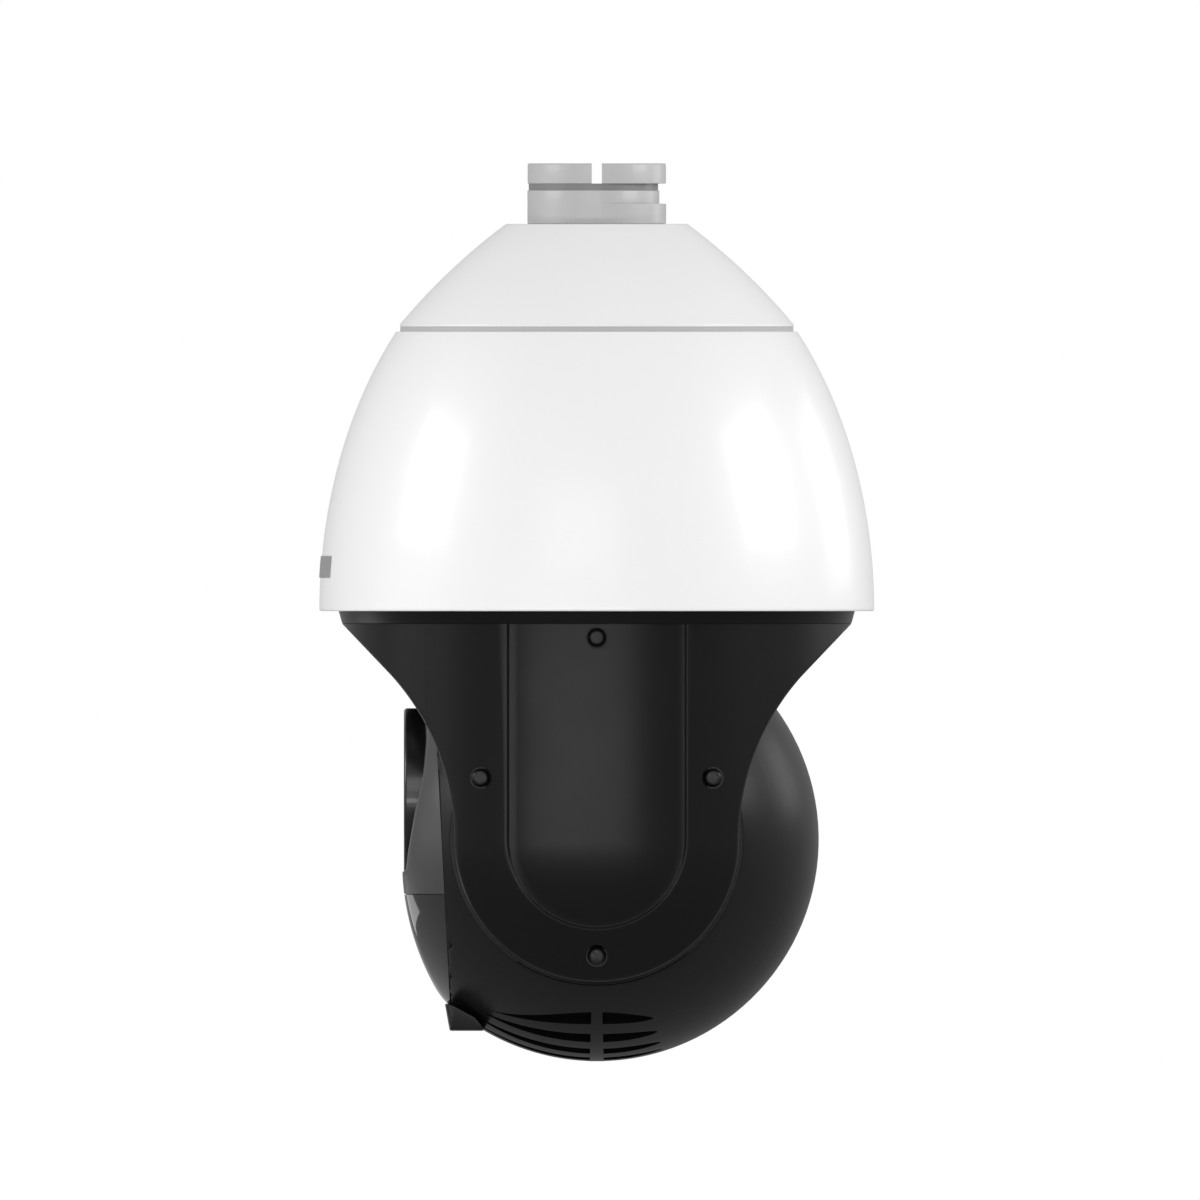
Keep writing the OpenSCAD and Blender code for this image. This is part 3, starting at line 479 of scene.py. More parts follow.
def machined(name, colour, rough, scale=900, squeeze=(1, 1, 6), metallic=1.0):
    """Metal with fine tool marks that run round or along the part."""
    f = Finish(name, metallic=metallic, specular=0.5)
    lines = f.noise(scale, 3, 0.6, squeeze)
    cloud = f.noise(60, 3)
    f.set("Base Color", f.between(lines, shade(colour, 0.88), colour))
    f.set("Roughness", lines * 0.14 + cloud * 0.08 + (rough - 0.11))
    f.bump(lines, 0.00002)
    return f.material


def rubber(name, colour, rough=0.7, specular=0.3):
    """Matte rubber with a dusty bloom."""
    f = Finish(name, specular=specular)
    bloom = f.noise(70, 5, 0.65)
    f.set("Base Color", f.between(bloom.step(0.35, 0.75), colour, shade(colour, 1.6)))
    f.set("Roughness", bloom * 0.12 + (rough - 0.06))
    f.bump(f.noise(1800, 3), 0.00004)
    return f.material


def circuit(name):
    """Solder mask with copper runs under it and small tinned pads."""
    f = Finish(name, coat_weight=0.4, coat_roughness=0.2)
    runs = f.node("ShaderNodeTexBrick", {"offset": 0.5}, {
        "Vector": f.place, "Scale": 130, "Mortar Size": 0.03, "Color1": (0, 0, 0), "Color2": (0, 0, 0),
        "Mortar": (1, 1, 1)}).out("Color")
    pads = f.node("ShaderNodeTexVoronoi", {}, {"Vector": f.place, "Scale": 260}).out("Distance")
    tin = 1 - pads.step(0.10, 0.16)
    green = f.between(runs, (0.004, 0.045, 0.016), (0.012, 0.085, 0.035))
    f.set("Base Color", f.between(tin, green, (0.55, 0.55, 0.52)))
    f.set("Metallic", tin)
    f.set("Roughness", 0.42 - tin * 0.15)
    f.bump(tin, 0.00005)
    return f.material


def make_finishes():
    """Every finish of the camera, by its slot in the record."""
    c = colours()
    return {
        "white_shell": powder_coat("white_coat", tuple(c.white), 0.34, 0.00003),
        "collar_metal": powder_coat("collar_coat", tuple(c.collar), 0.42, 0.00004),
        "grey_seal": moulding("grey_seal", (0.5, 0.5, 0.5), 0.6, 0.00001, 1500, 0.03),
        "badge_grey": moulding("badge_plate", (0.29, 0.29, 0.29), 0.4, 0.00001, 2000, 0.04),
        "black_shell": moulding("black_moulding", tuple(c.black), 0.3, 0.000014),
        "head_shell": moulding("ball_moulding", tuple(c.charcoal), 0.34, 0.000016),
        "front_shell": moulding("front_moulding", tuple(c.front), 0.3, 0.000012, specular=0.5),
        "gloss_black": polished("boss_gloss", (0.006, 0.006, 0.006), 0.24, 1.0, 0.2),
        "window_glass": polished("lens_pane", (0.004, 0.004, 0.006), 0.02, 0.55),
        "ir_glass": polished("infrared_pane", (0.007, 0.007, 0.008), 0.06, 0.97),
        "lens_glass": polished("coated_glass", (0.02, 0.05, 0.08), 0.02, 0.8, 1.0, (0.16, 0.05, 0.22)),
        "filter_glass": polished("filter_glass", (0.25, 0.03, 0.05), 0.03, 0.6),
        "led_lens": polished("emitter_lens", (0.62, 0.6, 0.5), 0.05, 0.85),
        "cast_metal": machined("cast_metal", (0.6, 0.6, 0.6), 0.42, 500, (1, 1, 1)),
        "steel": machined("ground_steel", (0.56, 0.56, 0.57), 0.28),
        "dark_steel": machined("black_steel", (0.02, 0.02, 0.02), 0.36, 1200, (1, 1, 1), 0.6),
        "brass": machined("turned_brass", (0.68, 0.46, 0.18), 0.3),
        "barrel_black": machined("barrel_black", (0.02, 0.02, 0.02), 0.4, 700, (1, 6, 1), 0.5),
        "motor_black": moulding("motor_enamel", (0.03, 0.03, 0.032), 0.42, 0.00002, 900),
        "rubber": rubber("black_rubber", (0.014, 0.014, 0.014)),
        "circuit_board": circuit("circuit_board"),
        # Painted shade: the collar grey darkened to 0.42 stands in for the shadow in the thin groove under the
        # collar's top band.
        "collar_line": powder_coat("collar_line", shade(tuple(c.collar), 0.42), 0.5, 0.00003),
        # Painted shade: a near-black, almost unreflecting matte that stands in for the shadow deep in the ball's
        # cooling grooves.
        "groove_black": rubber("groove_black", (0.0015, 0.0015, 0.0015), 0.9, 0.03),
    }


FINISHES = {}


def dress_nodes():
    """Gives every CAD node the finish of its slot."""
    FINISHES.update(make_finishes())
    slots = {s["node"]: s["material_slot"] for s in frame["record"]["subparts"]}
    for name, node in frame["nodes"].items():
        node.data.materials.clear()
        node.data.materials.append(FINISHES[slots[name]])


# ------------------------------------------------------------------ white housing

SLOT_HALF = 2 * MM
CROSS = (0, math.pi / 2)
RIM_Z = DOME_LOW[2]
SEAM_TOP = CAP_LOW[2]
SEAM_FOOT = DOME_HIGH[2]
DOME_R = DOME_HIGH[0]


def dome_radius(z):
    """Ellipse of revolution: rim radius times the root of 1 - (height / closing height) squared."""
    return DOME_R * np.sqrt(1 - ((z - RIM_Z) / sizes().close_height) ** 2)


def build_dome():
    """Dome shell: the ellipse outside, the same less the wall inside, with rounded rims."""
    wall = sizes().wall
    z = np.linspace(RIM_Z, SEAM_FOOT, 72)
    outer = np.stack([dome_radius(z), z], 1)
    inner = np.stack([dome_radius(z[::-1]) - wall, z[::-1]], 1)
    edge = [0.9 * MM] + [0] * 70 + [0.7 * MM]
    outline = rounded(np.concatenate([outer, inner]).tolist(), edge + [0.4 * MM] + [0] * 70 + [0.6 * MM])
    points, faces = turned(outline, 256)
    finish_mesh("dome_shell", points, faces, "housing", "white_shell",
                ["main_housing"])


def build_cap():
    """Cap shell: a flat shoulder, then a cone whose side bows out by bulge * 4t(1 - t)."""
    s = sizes()
    t = np.linspace(0, 1, 48)
    seam_r = dome_radius((SEAM_TOP + SEAM_FOOT) / 2)
    bow = 4 * t * (1 - t) * s.bulge * 0.7
    r = s.shoulder + (seam_r - s.shoulder) * t + bow
    z = SEAM_TOP * t + bow
    neck = s.collar_radius - 0.3 * MM
    outer = np.stack([r, z], 1)
    inner = np.stack([r[::-1] - s.wall * 0.75, z[::-1] - s.wall * 0.75], 1)
    inner[0] = [seam_r - s.wall, SEAM_TOP]
    corners = [[neck, 0], *outer.tolist(), *inner.tolist(), [neck, -s.wall]]
    radii = [0.2 * MM, 2.2 * MM] + [0] * 46 + [0.7 * MM, 0.4 * MM] + [0] * 47 + [0]
    points, faces = turned(rounded(corners, radii, 8), 256)
    finish_mesh("cap_shell", points, faces, "housing", "white_shell", ["top_cap"])


def build_collar():
    """Collar: a banded profile turned upright, its middle sunk on the rear half, with slots cut in its top and shade
    painted into the thin groove under its top band.
    """
    s = sizes()
    r, top, band = s.collar_radius, COLLAR_HIGH[2], s.band
    bore = GLAND_HIGH[0] + 1.7 * MM
    line_low, line_high, line_deep = top - band - 2.7 * MM, top - band, 0.5 * MM
    track_low, deep = band, 3 * MM
    tiny = 0.05 * MM
    corners = [
        [bore, band], [bore, top], [r, top], [r, line_high], [r - line_deep, line_high - tiny],
        [r - line_deep, line_low], [r, line_low - tiny], [r, track_low + tiny], [r, track_low], [r, 0.1 * MM],
        [r - 0.6 * MM, 0], [r - 0.6 * MM, -7 * MM], [bore - 1.5 * MM, -7 * MM], [bore - 1.5 * MM, band]]
    radii = [0, 0.5 * MM, 0.7 * MM, 0.4 * MM, 0, 0, 0.25 * MM, 0, 0.3 * MM, 0.3 * MM, 0, 0, 0, 0]

    def sunk(radius, z, a):
        rear = smooth_step(np.sin(a) * 1.05)
        inside = (z > track_low + tiny / 2) & (z < line_high - tiny / 2) & (radius > bore + 2 * MM)
        return radius - np.where(inside, rear * deep * 0.9, 0)

    points, faces = turned(rounded(corners, radii), 256, radius_at=sunk)
    collar = finish_mesh("mount_collar_turned", points, faces, "housing",
                         "collar_metal", ["mount_collar"])
    cut_with(collar, [bar_cutter(a, 40 * MM, SLOT_HALF, top - band, top + 5 * MM) for a in CROSS])
    # Painted shade: the faces in the thin groove under the top band take the collar grey darkened to 0.42, in place
    # of the shadow under the band.
    collar.data.materials.append(FINISHES["collar_line"])
    places = face_centres(collar.data)
    out = np.hypot(places[:, 0], places[:, 1])
    in_shaded_groove = (places[:, 2] > line_low) & (places[:, 2] < line_high - 0.01 * MM) & (out > r - 4 * MM)
    collar.data.polygons.foreach_set("material_index", in_shaded_groove.astype(np.int32))


def finer(outline, step):
    """A closed outline with extra points along its long sides, no further apart than a step."""
    ends = np.roll(outline, -1, axis=0)
    counts = np.maximum(np.ceil(np.linalg.norm(ends - outline, axis=1) / step), 1).astype(int)
    return np.concatenate([a + (b - a) * np.linspace(0, 1, n, endpoint=False)[:, None]
                           for a, b, n in zip(outline, ends, counts)])


def build_badge():
    """Blank plate wrapped on the dome: a rounded rectangle of arc length and height, slightly proud."""
    half_arc = math.asin(BADGE_HIGH[0] / DOME_R) * DOME_R
    low, high = BADGE_LOW[2], BADGE_HIGH[2]
    outline = rounded([(-half_arc, low), (half_arc, low), (half_arc, high), (-half_arc, high)], 0.7 * MM, 8)
    outline = finer(outline, 1 * MM)
    centre = np.array([0, (low + high) / 2])
    proud, sunk = 0.45, -0.8
    rows = [(share, proud) for share in np.linspace(0, 0.97, 16)]
    rows += [(0.99, 0.36), (1.0, 0.2)] + [(share, sunk) for share in np.linspace(1, 0, 16)]
    points = []
    for share, lift in rows:
        flat = centre + (outline - centre) * share
        angle = flat[:, 0] / DOME_R - math.pi / 2
        r = dome_radius(flat[:, 1]) + lift * MM
        points.append(np.stack([r * np.cos(angle), r * np.sin(angle), flat[:, 1]], 1))
    finish_mesh("blank_badge_plate", points, grid_faces(len(rows), len(outline), False, True),
                "housing", "badge_grey", ["blank_badge"])


def build_gland():
    """Ribbed rubber gland with a soft lip round its hole."""
    r, low, top = GLAND_HIGH[0], GLAND_LOW[2], GLAND_HIGH[2]
    hole = 7 * MM
    corners = [[hole, low], [hole, top], [hole + 2 * MM, top], [r - 1.5 * MM, top - 3 * MM], [r, top - 3 * MM]]
    for k in (1, 2):
        z = top - 3 * MM - 3 * k * MM
        corners += [[r, z + 1.2 * MM], [r - 1 * MM, z + 1 * MM], [r - 1 * MM, z + 0.2 * MM], [r, z]]
    corners.append([r, low])
    points, faces = turned(rounded(corners, 0.25 * MM, 4), 128)
    finish_mesh("gland_ribbed", points, faces, "housing", "rubber", ["cable_gland"])


# ------------------------------------------------------------------ black yoke

RING_Z = RING_LOW[2] - AXIS_Z
RING_R = RING_HIGH[0]
FOOT_R = RING_R - 1.4 * MM
ARM_R = FOOT_R - 0.9 * MM
ARM_IN = node_box("head_shroud")[1][0] + 0.2 * MM
SPLIT_X = HOOD_HIGH[0]
SHROUD_R = BALL_HIGH[0] + 0.029
EDGE_R = 3.2 * MM
SCREWS = [(0, RING_Z - 5.4 * MM), (-46 * MM, 24.4 * MM), (46 * MM, 24.4 * MM), (0, -46.2 * MM)]


def flare_width(z):
    """Half width of the yoke seen from its side, at a height above the tilt axis.

    A circle of the flare radius bends out from the arm until the flare angle, and a straight line
    goes on from there to the foot of the ring.
    """
    s = sizes()
    turn = np.arcsin(np.clip(z / s.flare, 0, math.sin(s.flare_angle)))
    bend = s.arm_end + s.flare * (1 - np.cos(turn))
    z0, w0 = s.flare * math.sin(s.flare_angle), s.arm_end + s.flare * (1 - math.cos(s.flare_angle))
    straight = w0 + (FOOT_R - w0) * (z - z0) / (RING_Z - z0)
    return np.where(z > z0, straight, bend)


def envelope_radius(z):
    """Turned envelope of the yoke: the arm radius, growing evenly to the ring's foot at the top."""
    return ARM_R + (FOOT_R - ARM_R) * np.clip(z / RING_Z, 0, 1)


def stations(top, straight=64, round_steps=56):
    """Cross-section places along an arm's outline, down one side, round the end and up the other.

    Each is a spine height, the direction that the section faces in Y and Z, its half width and the
    envelope's radius there.
    """
    z = top * (1 - np.linspace(0, 1, straight))
    turn = np.linspace(-math.pi / 2, math.pi / 2, round_steps + 2)[1:-1]
    arm_end = sizes().arm_end
    heights = np.concatenate([z, np.zeros(round_steps), z[::-1]])
    side = np.concatenate([-np.ones(straight), np.sin(turn), np.ones(straight)])
    down = np.concatenate([np.zeros(straight), -np.cos(turn), np.zeros(straight)])
    width = np.concatenate([flare_width(z), np.full(round_steps, arm_end), flare_width(z[::-1])])
    reach = np.concatenate([envelope_radius(z), np.full(round_steps, ARM_R), envelope_radius(z[::-1])])
    return heights, side, down, np.minimum(width, reach - 0.01 * MM), reach


def depth_at(x, width, reach):
    """How far a cross-section reaches from its spine at a given x.

    It is flat at its half width, then a small edge circle, then the envelope's circle.
    """
    low = width - EDGE_R
    edge_x = np.sqrt(np.maximum((reach - EDGE_R) ** 2 - low ** 2, 0))
    touch_x = edge_x * reach / (reach - EDGE_R)
    edge = low + np.sqrt(np.maximum(EDGE_R ** 2 - (x - edge_x) ** 2, 0))
    arc = np.sqrt(np.maximum(reach ** 2 - x ** 2, 0))
    return np.where(x < edge_x, width, np.where(x < touch_x, edge, arc))


def put(heights, side, down, x, d):
    """Points of cross-sections: x across, and d from the spine in the section's own direction."""
    y = side[:, None] * d
    z = heights[:, None] + down[:, None] * d + AXIS_Z
    return np.stack([np.broadcast_to(x, d.shape), y, z], -1)


def end_caps(stations_count, rows):
    """Quads that close the first and last cross-sections by joining opposite rows."""
    faces = []
    for base in (0, (stations_count - 1) * rows):
        faces += [(base + k, base + k + 1, base + rows - 2 - k, base + rows - 1 - k)
                  for k in range(rows // 2 - 1)]
    return faces


def cover_rows(width, reach):
    """Outer rows of an arm cover, from the spine out over the panel, the border and the edge to the split."""
    s = sizes()
    bevel = 1.6 * MM
    low = width - EDGE_R
    edge_x = np.sqrt(np.maximum((reach - EDGE_R) ** 2 - low ** 2, 0))
    touch_d = low * reach / (reach - EDGE_R)
    floor = np.linspace(0, s.panel - bevel, 12)
    slope = s.panel - bevel * (1 - np.linspace(0, 1, 7)[1:])
    d = [np.full_like(width, v) for v in np.concatenate([floor, slope])]
    d += [s.panel + (touch_d - s.panel) * t for t in np.linspace(0, 1, 18)[1:]]
    d = np.stack(d, 1)
    x = np.sqrt(np.maximum(reach[:, None] ** 2 - d ** 2, 0))
    x = x - s.panel_depth * (1 - smooth_step((d - (s.panel - bevel)) / bevel))
    start = np.arctan2(low, edge_x)
    turn = start[:, None] + (math.pi / 2 - start[:, None]) * np.linspace(0, 1, 8)[None, 1:]
    x_edge, d_edge = edge_x[:, None] + EDGE_R * np.cos(turn), low[:, None] + EDGE_R * np.sin(turn)
    x_wall = edge_x[:, None] + (SPLIT_X - edge_x[:, None]) * np.linspace(0, 1, 5)[None, 1:]
    d_wall = np.repeat(width[:, None], 4, 1)
    x, d = np.concatenate([x, x_edge, x_wall], 1), np.concatenate([d, d_edge, d_wall], 1)
    at_split = depth_at(np.full_like(width, SPLIT_X), width, reach)[:, None]
    beyond = x < SPLIT_X + 0.1 * MM
    return np.where(beyond, SPLIT_X + 0.1 * MM, x), np.where(beyond, at_split, d)


def build_arm_cover(side):
    """Arm cover: cross-sections lofted round the arm, hollow inside, with a screw pocket at each screw."""
    name = "left" if side > 0 else "right"
    heights, side_y, down, width, reach = stations(RING_Z)
    x, d = cover_rows(width, reach)
    wall = 4.5 * MM
    inner_x = np.maximum(x - wall, SPLIT_X + 0.1 * MM)
    inner_d = np.minimum(d, d[:, -1:] - 3 * MM)
    points = put(heights, side_y, down, np.concatenate([x, inner_x[:, ::-1]], 1),
                 np.concatenate([d, inner_d[:, ::-1]], 1))
    rows = points.shape[1]
    points[..., 0] *= side
    faces = grid_faces(len(heights), rows) + end_caps(len(heights), rows)
    cover = finish_mesh(f"arm_cover_shell_{name}", points, faces, "yoke",
                        "black_shell", [f"arm_cover_{name}"])
    cut_with(cover, [pocket_cutter(side, y, z) for y, z in SCREWS])


def build_arm_covers():
    """Both arm covers, the left one first."""
    for side in (1, -1):
        build_arm_cover(side)


def pocket_floor(y, z):
    """X of a screw pocket's floor: 3.2 mm under the arm's face, and under the panel's floor inside it."""
    sunk = sizes().panel_depth if abs(y) < sizes().panel and z > 0 else 0
    return math.sqrt(ARM_R ** 2 - y ** 2 - min(z, 0) ** 2) - sunk - 3.2 * MM


def pocket_cutter(side, y, z, radius=4.35 * MM, steps=48):
    """A round plug along X, from the pocket's floor out past the arm's face."""
    floor = pocket_floor(y, z)
    a = np.linspace(0, 2 * math.pi, steps, endpoint=False)
    points = [np.stack([np.full(steps, side * x), y + radius * np.cos(a), z + AXIS_Z + radius * np.sin(a)], 1)
              for x in (floor, floor + 30 * MM)]
    faces = grid_faces(2, steps, False, True) + [list(range(steps)), list(range(2 * steps - 1, steps - 1, -1))]
    return cutter(points, faces)


def build_hood():
    """Hood: front and rear skins over the ball, and the inner frames of both arms."""
    points, faces = [], []

    def add(block, more):
        start = sum(len(p) for p in points)
        points.append(block.reshape(-1, 3))
        faces.extend([tuple(v + start for v in f) for f in more])

    z = np.linspace(0, RING_Z, 200)
    reach_sq = flare_width(z) ** 2 + z ** 2
    x = np.linspace(-ARM_IN - 0.1 * MM, ARM_IN + 0.1 * MM, 121)
    low = np.interp(SHROUD_R ** 2 - x ** 2, reach_sq, z)
    share = np.linspace(1, 0, 40)
    heights = low[:, None] + (RING_Z - low[:, None]) * share
    width = np.minimum(flare_width(heights), envelope_radius(heights) - 0.01 * MM)
    y = depth_at(np.abs(x)[:, None], width, envelope_radius(heights))
    wall = 3 * MM
    for sign in (-1, 1):
        outer = np.stack([np.repeat(x[:, None], 40, 1), sign * y, heights + AXIS_Z], -1)
        inner = outer.copy()
        inner[..., 1] -= sign * wall
        lip = np.stack([outer[:, -1:], inner[:, -1:]], 2).mean(2)
        lip[..., 2] -= 0.5 * MM
        loop = np.concatenate([outer, lip, inner[:, ::-1]], 1)
        loop = np.concatenate([loop[:, :41], loop[:, 40:]], 1)
        rows = loop.shape[1]
        add(loop, grid_faces(len(x), rows, False, True) + end_caps(len(x), rows))
    heights, side_y, down, width, reach = stations(RING_Z)
    inner_r = 1.2 * MM
    turn = np.linspace(0, math.pi / 2, 6)
    xs = np.concatenate([np.full(6, ARM_IN), ARM_IN + inner_r * (1 - np.cos(turn))[1:],
                         np.linspace(ARM_IN + inner_r, SPLIT_X, 6)[1:]])
    d_out = depth_at(xs[None, 5:], width[:, None], reach[:, None])
    soften = (smooth_step((40 * MM - heights) / (15 * MM)) * inner_r)[:, None]
    d_out[:, :6] -= soften * (1 - np.sin(turn))[None, :]
    d_face = d_out[:, :1] * np.linspace(0, 1, 6)[None, :5]
    d = np.concatenate([d_face, d_out], 1)
    back_d = d.copy()
    back_d[:, 5:] = d[:, -1:]
    back_d[:, :5] = d[:, -1:] * np.linspace(0, 1, 6)[None, :5]
    back_x = np.full(d.shape, SPLIT_X)
    x_all = np.concatenate([np.repeat(xs[None], len(heights), 0), back_x[:, ::-1]], 1)
    d_all = np.concatenate([d, back_d[:, ::-1]], 1)
    block = put(heights, side_y, down, x_all, d_all)
    rows = block.shape[1]
    for sign in (-1, 1):
        arm = block * np.array([sign, 1, 1])
        add(arm, grid_faces(len(heights), rows) + end_caps(len(heights), rows))
    finish_mesh("yoke_hood_shell", np.concatenate(points), faces, "yoke",
                "black_shell", ["yoke_hood"])


def build_ring():
    """Turntable: a dished disc whose chamfered skirt shows below the dome."""
    low, top = RING_LOW[2], RING_HIGH[2]
    plate, wall = top - 3 * MM, 5 * MM
    corners = [[0, top], [RING_R, top], [RING_R, low + 5 * MM], [FOOT_R, low], [FOOT_R - wall, low],
               [FOOT_R - wall, plate], [0, plate]]
    radii = [0, 0.8 * MM, 0.8 * MM, 0.6 * MM, 0.3 * MM, 0, 0]
    points, faces = turned(rounded(corners, radii), 256)
    finish_mesh("turntable_dish", points, faces, "yoke", "black_shell",
                ["turntable"])


def build_arm_screws():
    """Pan-head screws: a domed head with a cross recess, on a plain shank."""
    r, high = 3.7 * MM, 2.6 * MM
    corners = [[0, 0], [r, 0], [r, high * 0.45], [r * 0.72, high * 0.93], [0, high]]
    points, faces = turned(rounded(corners, [0, 0.15 * MM, 0.9 * MM, 1.5 * MM, 0], 6), 48)
    one = finish_mesh("screw", points, faces, "yoke", "dark_steel")
    cut_with(one, [bar_cutter(a, 2.3 * MM, 0.42 * MM, 1.2 * MM, 4 * MM) for a in CROSS])
    co = np.array([v.co for v in one.data.vertices])
    loops = [tuple(p.vertices) for p in one.data.polygons]
    bpy.data.objects.remove(one)
    all_points, all_faces = [], []
    spins = [0.35, 1.1, 0.2, 0.8, 1.3, 0.5, 0.95, 0.1]
    for k, spin in enumerate(spins):
        side, (y, z) = (1 if k < 4 else -1), SCREWS[k % 4]
        c, s = math.cos(spin), math.sin(spin)
        u, v = co[:, 0] * c - co[:, 1] * s, co[:, 0] * s + co[:, 1] * c
        placed = np.stack([side * (pocket_floor(y, z) + co[:, 2]), y + u, z + AXIS_Z + v * side], 1)
        all_faces += [tuple(i + k * len(co) for i in f) for f in loops]
        all_points.append(placed)
    finish_mesh("arm_screw_heads", np.concatenate(all_points), all_faces, "yoke",
                "dark_steel", ["arm_screws"])


# ------------------------------------------------------------------ tilting ball

FLAT_X = BALL_HIGH[0]
SKIN = 3 * MM
SIDE_HOLE = 10.6 * MM
WINDOW_TOP = node_box("ir_window")[1][2] - AXIS_Z
COVER_FOOT = node_box("head_front_cover")[0][2] - AXIS_Z
BOSS_FRONT = -BEZEL_LOW[1]
BOSS_REAR = -BEZEL_HIGH[1]
GROOVES = (-4, 5)
GROOVE_FRONT, GROOVE_REAR = math.radians(33), math.radians(-17.5)
GROOVE_DEPTH = 2.4 * MM
SEAM_BEVEL = (0.45 * MM, 0.12 * MM)
RIB_HALF = 2.75 * MM
BEND_SHARE = 0.235
BEND_REACH = 42 * MM
BEND_END = 62.5 * MM
FRONT_GAP = 0.35 * MM
LIP_PROFILE = np.array([(-57.2, -66), (-60.3, -64.8), (-58.3, -75.9), (-43.6, -75.9), (-48, -71)]) * MM
LIP_ROUNDING = [0.5 * MM, 0.5 * MM, 0.9 * MM, 0.9 * MM, 0]
FACE_HEIGHTS = np.array([-88, -64.5, -19.5, -4, 10, 27, 40, 52, 88]) * MM
FACE_REACH = np.array([52.5, 60.5, 76.6, 74.7, 72.3, 68.7, 67.6, 68.5, 66.5]) * MM


def seam_at(z):
    """Distance of the seam plane in front of the tilt axis at a height above it."""
    h = head()
    return h.seam + z * math.tan(h.seam_lean)


def seam_circle():
    """The seam's distance from the ball's centre and its radius, by Pythagoras."""
    h = head()
    level = h.seam * math.cos(h.seam_lean)
    return level, math.sqrt(h.radius ** 2 - level ** 2)


def seam_angles(ring_radius):
    """Angles, up from straight down, at which the seam plane meets a ring of the ball."""
    turn = np.arcsin(np.clip(seam_circle()[0] / ring_radius, -1, 1))
    return turn - head().seam_lean, math.pi - turn - head().seam_lean


def ball_places():
    """Places across the ball: fine where it has grooves and where the seam closes."""
    h = head()
    close_x = seam_circle()[1]
    steps = np.array([-1.1, -1.0, -0.92, -0.84, -0.7, -0.5, -0.25, 0, 0.25, 0.5, 0.7, 0.84, 0.92, 1.0, 1.1])
    steps = steps * h.groove_width / 2
    grooves = [k * h.groove_pitch + steps for k in range(*GROOVES)]
    spread = np.array([-1, 0, 1]) * h.groove_pitch / 10
    between = [(k + 0.5) * h.groove_pitch + spread for k in range(*GROOVES)]
    end = close_x - (close_x - 58 * MM) * (1 - np.linspace(0, 1, 9)) ** 2
    x = np.concatenate(grooves + between + [end, -end])
    return np.unique(np.round(x[np.abs(x) < close_x + 1e-7], 7)), close_x


def side_outline(x_end, inset):
    """Ball outline from where the seam closes, over a rounded edge and down the flat to the pivot's hole."""
    r = head().radius - inset
    flat = FLAT_X - inset
    fillet = 1.6 * MM
    centre_x = flat - fillet
    centre_r = math.sqrt((r - fillet) ** 2 - centre_x ** 2)
    touch = math.atan2(centre_x, centre_r)
    start = math.asin(min(x_end / r, math.sin(touch)))
    arc = np.linspace(start, touch, 6)[1:]
    edge = np.linspace(touch, math.pi / 2, 7)[1:]
    down = np.linspace(centre_r, SIDE_HOLE, 5)[1:]
    return np.concatenate([
        np.stack([r * np.sin(arc), r * np.cos(arc)], 1),
        np.stack([centre_x + fillet * np.sin(edge), centre_r + fillet * np.cos(edge)], 1),
        np.stack([np.full(4, flat), down], 1)])


def groove_taper(angle):
    """Width of the grooves against their full width: the root of 1 - the cube of the way to an end."""
    reach = np.where(angle > 0, GROOVE_FRONT, -GROOVE_REAR)
    return np.sqrt(np.maximum(1 - np.clip(np.abs(angle) / reach, 0, 1) ** 3, 0.01))


def groove_bend(x, angle):
    """Moves places across the ball inwards where the grooves bend.

    A place moves by bend * |x|^3 * the square of its way forward or back, less and less outside the
    last groove and outside the grooves' angles.
    """
    h = head()
    last = (GROOVES[1] - 1) * h.groove_pitch
    half = h.groove_width / 2
    nearest = np.clip(np.round(x / h.groove_pitch), GROOVES[0], GROOVES[1] - 1) * h.groove_pitch
    over = x - nearest
    x = np.where(np.abs(over) <= half * 1.001, nearest + over * groove_taper(angle), x)
    wide = np.abs(x)
    edge = last + h.groove_width * 0.55
    way = np.clip(h.radius * np.sin(np.clip(angle, GROOVE_REAR, GROOVE_FRONT)) / BEND_REACH, -1.2, 1.2) ** 2
    fade = 1 - smooth_step((angle - GROOVE_FRONT) / math.radians(7))
    fade = fade * (1 - smooth_step((GROOVE_REAR - angle) / math.radians(40)))
    amount = BEND_SHARE * np.minimum(wide, edge) ** 3 / last ** 2
    amount = amount * np.clip((BEND_END - wide) / (BEND_END - edge), 0, 1)
    return x - np.sign(x) * amount * way * fade


def groove_depth(x, angle):
    """How deep the shell is sunk: full inside each groove, none on the middle rib, with tapered ends."""
    h = head()
    half = h.groove_width / 2
    nearest = np.round(x / h.groove_pitch) * h.groove_pitch
    over = np.abs(x - nearest)
    taper = groove_taper(angle)
    in_groove = (np.abs(angle * h.radius) > RIB_HALF) & (taper > 0.13)
    in_groove &= np.abs(nearest) < (GROOVES[1] - 0.5) * h.groove_pitch
    return np.where(in_groove, GROOVE_DEPTH * smooth_step((half * 0.99 - over) / (0.12 * half)), 0)


